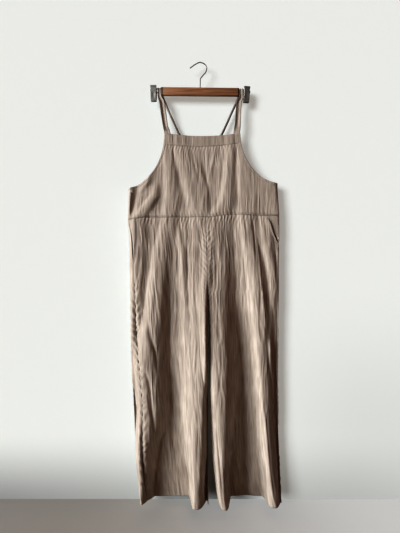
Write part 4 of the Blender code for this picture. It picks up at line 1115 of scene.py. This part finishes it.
# ==== Armhole bindings ===========================================================================
# Narrow strips of the same cloth, folded over the raw edge of each armhole and sewn down through it. Each
# runs from the bib's corner, under the arm, to the back's corner.
BINDING_THICK = 0.0016
BINDING_SEWN = 0.0015     # its row of stitches, from the edge that lies on the cloth
QUARTER = 70              # rows from a corner to the underarm
BINDING_COLUMNS = 6
for side in ("left", "right"):
    route = [(angle, False) for angle in np.linspace(0, 90, QUARTER)]
    route += [(angle, True) for angle in np.linspace(90, 0, QUARTER)[1:]]
    rows = []
    for angle, back in route:
        inner, outer = (np.array(arm_edge(side, angle, grow, back)) for grow in (0, BINDING))
        if side == "left" and back:
            inner[0], outer[0] = inner[0] - 2, outer[0] - 2
        rows.append([inner + (outer - inner) * part for part in np.linspace(0, 1, BINDING_COLUMNS)])
    rows = np.array(rows)
    if side == "right":
        rows = rows[:, ::-1]
    points, threads, shade = crinkled("body", rows, 20, 0.2)
    edge = "right" if side == "left" else "left"
    sewn = stitches(f"armhole_binding_{side}_stitches",
                    [sewn_line(points, edge, BINDING_SEWN, BINDING_THICK)])
    binding = cloth_piece("armhole_binding_" + side, points, threads, shade, BINDING_THICK)
    bodice[0][2].extend((binding, sewn))


# ==== Shoulder straps ============================================================================
# Long bands of the cloth sewn double. Each is sewn inside the bib's band, runs up over its bail and down to
# the inside of the back. Hanging free, a band curls lengthwise with its edges toward the front.
STRAP_THICK = 0.0020      # the strap is cloth folded over itself
STRAP_PRESSED = 0.9       # its layers, sewn together, keep this much of that
STRAP_SEWN = 0.0018       # its rows of stitches, from its edges
STRAP_INSIDE = 0.0028     # from the middle of the bib's or back's cloth to that of the strap sewn to it
STRAP_STEP = 0.0030       # between cross sections
STRAP_COLUMNS = 14
STRAP_OVER = 0.0105       # width it shows where it hangs over the bail
STRAP_CURL = 0.0016
BAIL_WIRE = 0.0030
BAIL_MIDDLE = -0.0985     # height between the two wires of a bail
BAIL_APART = 0.0130
TILT = math.radians(0.7)  # the bar hangs a little low on the right
# Each row: x, y, z of its middle, the width it shows and how deep its two edges curl outward. A row
# without y lies flat on the inside of the cloth.
STRAPS = {
    # side: where it crosses the bail, the rows from the bib up to it, the rows from it down to the back
    "left": (
        -0.1395,
        ((-0.1100, None, -0.2800, 0.0220, 0.0000), (-0.1105, None, -0.2600, 0.0220, 0.0000),
         (-0.1125, None, -0.2410, 0.0200, 0.0000), (-0.1180, -0.0115, -0.2220, 0.0170, 0.0035),
         (-0.1215, -0.0095, -0.2000, 0.0165, 0.0045), (-0.1260, -0.0075, -0.1700, 0.0170, 0.0045),
         (-0.1310, -0.0055, -0.1380, 0.0170, 0.0045), (-0.1385, -0.0032, -0.1160, 0.0120, 0.0030)),
        ((-0.1350, 0.0092, -0.1060, 0.0100, 0.0040), (-0.1250, 0.0115, -0.1250, 0.0060, 0.0070),
         (-0.1000, 0.0115, -0.1800, 0.0050, 0.0070), (-0.0760, 0.0105, -0.2350, 0.0055, 0.0070),
         (-0.0640, 0.0090, -0.2600, 0.0160, 0.0040), (-0.0580, None, -0.2760, 0.0210, 0.0000),
         (-0.0540, None, -0.2920, 0.0220, 0.0000), (-0.0530, None, -0.3100, 0.0220, 0.0000)),
    ),
    "right": (
        0.1425,
        ((0.1255, None, -0.2800, 0.0220, 0.0000), (0.1255, None, -0.2600, 0.0220, 0.0000),
         (0.1262, None, -0.2410, 0.0220, 0.0000), (0.1285, -0.0115, -0.2200, 0.0205, 0.0030),
         (0.1300, -0.0095, -0.2000, 0.0190, 0.0040), (0.1315, -0.0075, -0.1700, 0.0180, 0.0045),
         (0.1335, -0.0055, -0.1400, 0.0160, 0.0045), (0.1415, -0.0032, -0.1200, 0.0120, 0.0030)),
        ((0.1385, 0.0092, -0.1090, 0.0100, 0.0040), (0.1270, 0.0115, -0.1290, 0.0065, 0.0070),
         (0.1015, 0.0115, -0.1850, 0.0055, 0.0070), (0.0785, 0.0105, -0.2350, 0.0060, 0.0070),
         (0.0660, 0.0090, -0.2600, 0.0160, 0.0040), (0.0590, None, -0.2760, 0.0210, 0.0000),
         (0.0545, None, -0.2920, 0.0220, 0.0000), (0.0530, None, -0.3100, 0.0220, 0.0000)),
    ),
}


def tilted(points):
    """Points of the level hanger where its tilt about the hook's crest puts them."""
    x, y, z = np.moveaxis(np.asarray(points, dtype=float), -1, 0)
    return np.stack([x * math.cos(TILT) + z * math.sin(TILT), y, z * math.cos(TILT) - x * math.sin(TILT)], -1)


def strap_foot(x, z, on_front):
    """Depth at which the strap lies flat on the inside of the bib's band, or of the back."""
    if on_front:
        return float(front_depth(x, z)) + STRAP_INSIDE
    return float(back_depth(x, z)) - STRAP_INSIDE


def strap_points(side):
    """The band's cross sections, curled outward from the loop over the wire, as a grid along it."""
    over_x, up, down = STRAPS[side]
    wire_z = tilted((over_x, 0, BAIL_MIDDLE + BAIL_APART / 2))[2]
    round_wire = BAIL_WIRE / 2 + SEAM + STRAP_THICK / 2
    over = []
    for turn in (-90, -45, 0, 45, 90):
        angle = math.radians(turn)
        over.append((over_x, round_wire * math.sin(angle), wire_z + round_wire * math.cos(angle),
                     STRAP_OVER, STRAP_CURL))
    rows = [*up, *over, *down]
    middles = np.array([(x, strap_foot(x, z, number < len(rows) / 2) if y is None else y, z)
                        for number, (x, y, z, wide, curl) in enumerate(rows)])
    reach = np.concatenate([[0], np.cumsum(np.linalg.norm(np.diff(middles, axis=0), axis=1))])
    table = [(at, *middle, wide, curl) for at, middle, (*_, wide, curl) in zip(reach, middles, rows)]
    stations = np.linspace(0, reach[-1], round(reach[-1] / STRAP_STEP) + 1)
    x, y, z, wide, curl = along(table, stations)
    middle = np.stack([x, y, z], axis=-1)
    ahead = np.gradient(middle, axis=0)
    ahead /= np.linalg.norm(ahead, axis=1, keepdims=True)
    sideways = np.array([1.0, 0, 0]) - ahead * ahead[:, :1]
    sideways /= np.linalg.norm(sideways, axis=1, keepdims=True)
    out = np.cross(sideways, ahead)
    part = np.linspace(-1, 1, STRAP_COLUMNS)
    return (middle[:, None] + sideways[:, None] * (part * wide[:, None] / 2)[..., None]
            + out[:, None] * (curl[:, None] * np.abs(part) ** 1.5)[..., None])


for side, seed in (("left", 21), ("right", 22)):
    points = strap_points(side)[:, ::-1]
    v = edge_distance(points, "top")
    u = edge_distance(points, "left")
    ripple = 0.0005 * wander(u, v, 0.004, 0.03, seed) + 0.0006 * wander(u, v, 0.02, 0.02, seed + 1)
    # Painted shade darkens both edges of the strap.
    shade = 1 - 0.55 * np.exp(-(np.minimum(u, edge_distance(points, "right")) / 0.0022) ** 2)
    shade = shade * np.where(points[..., 1] > 0.004, 0.5, 1.0)     # painted shade: behind, the strap is rolled up on itself
    points = points + outward(points) * ripple[..., None]
    thick = STRAP_THICK * STRAP_PRESSED
    sewn = stitches(f"strap_{side}_stitches",
                    [sewn_line(points, edge, STRAP_SEWN, thick) for edge in ("left", "right")])
    strap = cloth_piece("strap_" + side, points, (u, v), shade, thick)


# ==== Hanger bar =================================================================================
# A planed hardwood bar, waxed warm brown, its long edges rounded and its ends chamfered and stained dark.
# The hook is screwed into its top, and a bail into each end.
BAR_LONG = 0.271
BAR_TALL = 0.0280
BAR_THICK = 0.0130
BAR_MIDDLE = (0.0015, -0.1005)    # x, z
BAR_CORNER = 0.0032
BAR_SECTIONS = (
    # which end, how far in from it, how much less on each side than the full section
    (-1, 0.0, 0.0035), (-1, 0.0008, 0.0012), (-1, 0.0040, 0.0),
    (1, 0.0040, 0.0), (1, 0.0008, 0.0012), (1, 0.0, 0.0035),
)


def finished(name, points, faces, finish, node, slot, smooth=True):
    """A piece of the hanger, tilted with it, in place of a node of the frame."""
    mesh = bpy.data.meshes.new(name)
    mesh.from_pydata(tilted(points).tolist(), [], faces)
    if smooth:
        mesh.shade_smooth()
        mesh.set_sharp_from_angle(angle=math.radians(40))
    mesh.materials.append(finish)
    piece = bpy.data.objects.new(name, mesh)
    bpy.context.scene.collection.objects.link(piece)
    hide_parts(node)
    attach(piece, "root")
    return piece


def swept(sections):
    """Faces that join equal closed sections in turn, with both ends closed, and their points."""
    sections = np.asarray(sections, dtype=float)
    count, many = sections.shape[:2]
    faces = []
    for k in range(count - 1):
        for j in range(many):
            j2 = (j + 1) % many
            faces.append((k * many + j, k * many + j2, (k + 1) * many + j2, (k + 1) * many + j))
    faces.append(tuple(range(many))[::-1])
    faces.append(tuple((count - 1) * many + j for j in range(many)))
    return sections.reshape(-1, 3), faces


def waxed_wood():
    """Hardwood with its grain along the bar, under thin wax, and dark at the bar's two ends."""
    wood = bpy.data.materials.new("waxed wood")
    wood.use_nodes = True
    nodes, links = wood.node_tree.nodes, wood.node_tree.links
    shader = nodes["Principled BSDF"]
    shader.inputs["Roughness"].default_value = 0.42
    shader.inputs["Coat Weight"].default_value = 0.15
    shader.inputs["Coat Roughness"].default_value = 0.3
    place = nodes.new("ShaderNodeTexCoord")
    stretch = nodes.new("ShaderNodeMapping")
    stretch.inputs["Scale"].default_value = (9, 160, 160)
    links.new(place.outputs["Object"], stretch.inputs["Vector"])
    grain = nodes.new("ShaderNodeTexNoise")
    grain.inputs["Scale"].default_value = 1
    grain.inputs["Detail"].default_value = 4
    grain.inputs["Distortion"].default_value = 0.6
    links.new(stretch.outputs["Vector"], grain.inputs["Vector"])
    tone = nodes.new("ShaderNodeValToRGB")
    tone.color_ramp.elements[0].position, tone.color_ramp.elements[1].position = 0.32, 0.68
    tone.color_ramp.elements[0].color = (0.175, 0.084, 0.042, 1)
    tone.color_ramp.elements[1].color = (0.400, 0.212, 0.110, 1)
    links.new(grain.outputs["Fac"], tone.inputs["Fac"])
    parts = nodes.new("ShaderNodeSeparateXYZ")
    links.new(place.outputs["Object"], parts.inputs["Vector"])
    middle = nodes.new("ShaderNodeMath")
    middle.operation = 'SUBTRACT'
    middle.inputs[1].default_value = BAR_MIDDLE[0]
    links.new(parts.outputs["X"], middle.inputs[0])
    away = nodes.new("ShaderNodeMath")
    away.operation = 'ABSOLUTE'
    links.new(middle.outputs[0], away.inputs[0])
    near_end = nodes.new("ShaderNodeMapRange")
    near_end.interpolation_type = 'SMOOTHSTEP'
    near_end.inputs["From Min"].default_value = BAR_LONG / 2 - 0.009
    near_end.inputs["From Max"].default_value = BAR_LONG / 2 - 0.004
    links.new(away.outputs[0], near_end.inputs["Value"])
    ends = nodes.new("ShaderNodeMix")
    ends.data_type = 'RGBA'
    links.new(near_end.outputs["Result"], ends.inputs["Factor"])
    first, second = [socket for socket in ends.inputs if socket.type == 'RGBA']
    links.new(tone.outputs["Color"], first)
    second.default_value = (0.030, 0.016, 0.010, 1)
    links.new([socket for socket in ends.outputs if socket.type == 'RGBA'][0], shader.inputs["Base Color"])
    bump = nodes.new("ShaderNodeBump")
    bump.inputs["Strength"].default_value = 0.4
    bump.inputs["Distance"].default_value = 0.0003
    links.new(grain.outputs["Fac"], bump.inputs["Height"])
    links.new(bump.outputs["Normal"], shader.inputs["Normal"])
    return wood


bar_sections = []
for end, from_end, inset in BAR_SECTIONS:
    x = BAR_MIDDLE[0] + end * (BAR_LONG / 2 - from_end)
    half_y, half_z, corner = BAR_THICK / 2 - inset, BAR_TALL / 2 - inset, BAR_CORNER - inset * 0.5
    section = []
    for quarter, (sy, sz) in enumerate(((1, 1), (-1, 1), (-1, -1), (1, -1))):
        for turn in np.linspace(0, 90, 5):
            angle = math.radians(quarter * 90 + turn)
            section.append((x, sy * (half_y - corner) + corner * math.cos(angle),
                            BAR_MIDDLE[1] + sz * (half_z - corner) + corner * math.sin(angle)))
    bar_sections.append(section)
finished("hanger_bar_wood", *swept(bar_sections), waxed_wood(), "hanger_bar", "wood")


# ==== Hook and bails =============================================================================
# Round steel wire. The hook is bent in one plane and screwed into the bar's top; a flattened loop of
# thinner wire comes out of each end of the bar and carries a clip and a strap.
HOOK_WIRE = 0.0036
# Hook route from the bar to its tip: x, z.
HOOK = (
    (0.0015, BAR_MIDDLE[1] + BAR_TALL / 2), (0.0015, -0.0700), (0.0018, -0.0570), (0.0100, -0.0440),
    (0.0205, -0.0310), (0.0235, -0.0180), (0.0170, -0.0050), (0.0000, HOOK_WIRE / 2), (-0.0150, -0.0048),
    (-0.0345, -0.0190),
)
BAIL_REACH = 0.1735               # from the bar's middle to the bail's closed end
BAIL_IN_BAR = 0.002


def mottled_steel():
    """A node group: one colour and roughness made uneven in small spots, as on handled metal."""
    group = bpy.data.node_groups.get("mottled steel")
    if group:
        return group
    group = bpy.data.node_groups.new("mottled steel", 'ShaderNodeTree')
    group.interface.new_socket("Colour", in_out='INPUT', socket_type='NodeSocketColor')
    group.interface.new_socket("Roughness", in_out='INPUT', socket_type='NodeSocketFloat')
    group.interface.new_socket("Colour", in_out='OUTPUT', socket_type='NodeSocketColor')
    group.interface.new_socket("Roughness", in_out='OUTPUT', socket_type='NodeSocketFloat')
    nodes, links = group.nodes, group.links
    given, made = nodes.new("NodeGroupInput"), nodes.new("NodeGroupOutput")
    place = nodes.new("ShaderNodeTexCoord")
    mottle = nodes.new("ShaderNodeTexNoise")
    mottle.inputs["Scale"].default_value = 220
    mottle.inputs["Detail"].default_value = 3
    links.new(place.outputs["Object"], mottle.inputs["Vector"])
    tone = nodes.new("ShaderNodeValToRGB")
    tone.color_ramp.elements[0].color = (0.70, 0.70, 0.70, 1)
    tone.color_ramp.elements[1].color = (1.15, 1.15, 1.15, 1)
    links.new(mottle.outputs["Fac"], tone.inputs["Fac"])
    uneven = nodes.new("ShaderNodeMix")
    uneven.data_type, uneven.blend_type = 'RGBA', 'MULTIPLY'
    uneven.inputs["Factor"].default_value = 1
    first, second = [socket for socket in uneven.inputs if socket.type == 'RGBA']
    links.new(given.outputs["Colour"], first)
    links.new(tone.outputs["Color"], second)
    links.new([socket for socket in uneven.outputs if socket.type == 'RGBA'][0], made.inputs["Colour"])
    dull = nodes.new("ShaderNodeMath")
    dull.operation = 'MULTIPLY_ADD'
    dull.inputs[1].default_value = 0.22
    links.new(mottle.outputs["Fac"], dull.inputs[0])
    links.new(given.outputs["Roughness"], dull.inputs[2])
    links.new(dull.outputs[0], made.inputs["Roughness"])
    return group


def steel(name, colour, roughness):
    """Handled steel of one colour, mottled by the node group."""
    metal = bpy.data.materials.new(name)
    metal.use_nodes = True
    nodes, links = metal.node_tree.nodes, metal.node_tree.links
    shader = nodes["Principled BSDF"]
    shader.inputs["Metallic"].default_value = 0.6
    mottle = nodes.new("ShaderNodeGroup")
    mottle.node_tree = mottled_steel()
    mottle.inputs["Colour"].default_value = (*colour, 1)
    mottle.inputs["Roughness"].default_value = roughness - 0.1
    links.new(mottle.outputs["Colour"], shader.inputs["Base Color"])
    links.new(mottle.outputs["Roughness"], shader.inputs["Roughness"])
    return metal


def wire(route, radius, sides=14):
    """Sections of a round wire along a route that lies in the hanger's plane or winds about x."""
    route = np.asarray(route, dtype=float)
    ahead = np.gradient(route, axis=0)
    ahead /= np.linalg.norm(ahead, axis=1, keepdims=True)
    across = np.cross(ahead, (0.0, 1.0, 0.0))
    weak = np.linalg.norm(across, axis=1) < 0.3
    across[weak] = np.cross(ahead[weak], (0.0, 0.0, 1.0))
    across /= np.linalg.norm(across, axis=1, keepdims=True)
    other = np.cross(ahead, across)
    turn = np.linspace(0, 2 * math.pi, sides, endpoint=False)
    return (route[:, None] + radius * (np.cos(turn)[None, :, None] * across[:, None]
                                       + np.sin(turn)[None, :, None] * other[:, None]))


legs = [math.dist(one, other) for one, other in zip(HOOK, HOOK[1:])]
runs = [sum(legs[:number]) for number in range(len(HOOK))]
hook_x, hook_z = along([(run, *point) for run, point in zip(runs, HOOK)], np.linspace(0, runs[-1], 90))
hook = wire(np.stack([hook_x, 0 * hook_x, hook_z], axis=-1), HOOK_WIRE / 2)
finished("hook_wire", *swept(hook), steel("dark steel wire", (0.20, 0.20, 0.19), 0.34),
         "hanger_hook", "hook_wire")
zinc = steel("zinc wire", (0.50, 0.51, 0.48), 0.38)
half = BAIL_APART / 2
straight = np.linspace(0, 1, 6)
bend = np.linspace(math.pi / 2, -math.pi / 2, 20)
for side, way in (("left", -1), ("right", 1)):
    root = BAR_MIDDLE[0] + way * (BAR_LONG / 2 - BAIL_IN_BAR)
    centre = BAR_MIDDLE[0] + way * (BAIL_REACH - half - BAIL_WIRE / 2)
    route = [(root + (centre - root) * part, 0, BAIL_MIDDLE + half) for part in straight]
    route += [(centre + way * half * math.cos(angle), 0, BAIL_MIDDLE + half * math.sin(angle))
              for angle in bend[1:]]
    route += [(centre + (root - centre) * part, 0, BAIL_MIDDLE - half) for part in straight[1:]]
    finished("bail_wire_" + side, *swept(wire(route, BAIL_WIRE / 2)), zinc, "bail_" + side, "steel_wire")


# ==== Clips ======================================================================================
# A sprung clip slides on each bail: two jaws pressed from sheet steel, their edges turned in for
# stiffness, a coil spring about the pivot between them, and a rubber pad inside each lip.
CLIP_OUT = 0.1595                 # from the bar's middle to a clip's middle
CLIP_WIDE = 0.0195
# One jaw from its thumb tab to its lip: distance in front of the bar's plane, height from the bail.
JAW = (
    (0.0125, 0.0150), (0.0112, 0.0125), (0.0095, 0.0095), (0.0086, 0.0050), (0.0083, 0.0000),
    (0.0078, -0.0060), (0.0070, -0.0120), (0.0052, -0.0220), (0.0034, -0.0320), (0.0036, -0.0345),
    (0.0046, -0.0365),
)
LIP = JAW[8]                      # where the two jaws come closest
JAW_SHEET = 0.0010
JAW_TURNED = 0.0012               # how far the jaw's edges are turned in, at the least
SPRING = 0.0024                   # radius of the spring about the clip's pivot
SPRING_WIRE = 0.0012
SPRING_TURNS = 7
PAD_TALL = 0.0080
PAD_WIDE = 0.0165
PAD_UP = 0.0008                   # from the lip to the pad's lower edge
PAD_EDGE = 0.0004
YAW = {"left": -6, "right": 8}    # degrees by which each clip is turned on its bail, outward
sheet_steel = steel("pressed steel", (0.27, 0.275, 0.265), 0.48)
rubber = bpy.data.materials.new("dark rubber")
rubber.use_nodes = True
rubber.node_tree.nodes["Principled BSDF"].inputs["Base Color"].default_value = (0.045, 0.043, 0.040, 1)
rubber.node_tree.nodes["Principled BSDF"].inputs["Roughness"].default_value = 0.7


def turned(points, x, side):
    """Points of a clip turned about its bail's upright."""
    points = np.array(points, dtype=float)
    angle = math.radians(YAW[side])
    away = points[..., 0] - x
    deep = points[..., 1].copy()
    points[..., 0] = x + away * math.cos(angle) - deep * math.sin(angle)
    points[..., 1] = away * math.sin(angle) + deep * math.cos(angle)
    return points


def jaw_points(x, face):
    """A jaw as a grid: down its profile, and across with both edges turned in toward the bail."""
    heights = np.linspace(JAW[0][1], JAW[-1][1], 40)
    out = along([(up, reach) for reach, up in JAW], heights)[0]
    # The tab flares and the lip narrows. Ears at the pivot hold the spring. A groove stiffens the middle.
    flare = np.clip((heights - 0.006) / 0.006, 0, 1)
    half = CLIP_WIDE / 2 + 0.0006 * flare - 0.0009 * np.clip((-0.026 - heights) / 0.01, 0, 1)
    ears = np.clip(1 - np.abs(heights + 0.0015) / 0.0085, 0, 1) ** 0.5 * 0.0052
    groove = np.exp(-((heights + 0.016) / 0.009) ** 4) * 0.0005
    rows = []
    for up, reach, wide, ear, press in zip(heights, out, half, ears, groove):
        z = BAIL_MIDDLE + up
        inner = face * (reach - max(ear, JAW_TURNED))
        bend = face * (reach - JAW_TURNED / 2)
        row = [(x - wide, inner, z), (x - wide, bend, z)]
        row += [(x + part * wide, face * (reach - press * (abs(part) < 0.6)), z)
                for part in (-0.94, -0.76, -0.66, -0.50, 0, 0.50, 0.66, 0.76, 0.94)]
        rows.append(row + [(x + wide, bend, z), (x + wide, inner, z)])
    return np.array(rows)


for side, way in (("left", -1), ("right", 1)):
    x = BAR_MIDDLE[0] + way * CLIP_OUT
    for jaw, face in (("front", -1), ("back", 1)):
        grid = turned(jaw_points(x, face), x, side)
        quads = grid_quads(*grid.shape[:2])
        if face == 1:
            quads = quads[:, ::-1]
        piece = finished(f"clip_{side}_{jaw}_sheet", grid.reshape(-1, 3), quads.tolist(), sheet_steel,
                         f"clip_{side}_{jaw}_jaw", "pressed_steel")
        sheet = piece.modifiers.new("sheet", 'SOLIDIFY')
        sheet.thickness = JAW_SHEET
        sheet.offset = 0
        near, far = SEAM, LIP[0] - JAW_SHEET / 2 - SEAM
        low = BAIL_MIDDLE + LIP[1] + PAD_UP
        block = [(end, face * (near + (far - near) * deep), low + PAD_TALL * up)
                 for end in (x - PAD_WIDE / 2, x + PAD_WIDE / 2)
                 for deep, up in ((0, 0), (1, 0), (1, 1), (0, 1))]
        block = turned(block, x, side).reshape(2, 4, 3)
        if face == 1:
            block = block[:, ::-1]
        pad = finished(f"clip_{side}_{jaw}_rubber", *swept(block), rubber,
                       f"clip_{side}_{jaw}_pad", "pad", smooth=False)
        edge = pad.modifiers.new("edge", 'BEVEL')
        edge.width, edge.segments = PAD_EDGE, 2
    half = CLIP_WIDE / 2 - JAW_SHEET - 2 * SEAM
    turns = np.linspace(0, SPRING_TURNS * 2 * math.pi, 200)
    coil = np.stack([x - half + 2 * half * turns / turns[-1], SPRING * np.cos(turns),
                     BAIL_MIDDLE + SPRING * np.sin(turns)], axis=-1)
    coil = turned(wire(coil, SPRING_WIRE / 2, 8), x, side)
    finished(f"clip_{side}_coil", *swept(coil), zinc, f"clip_{side}_spring", "steel_wire")
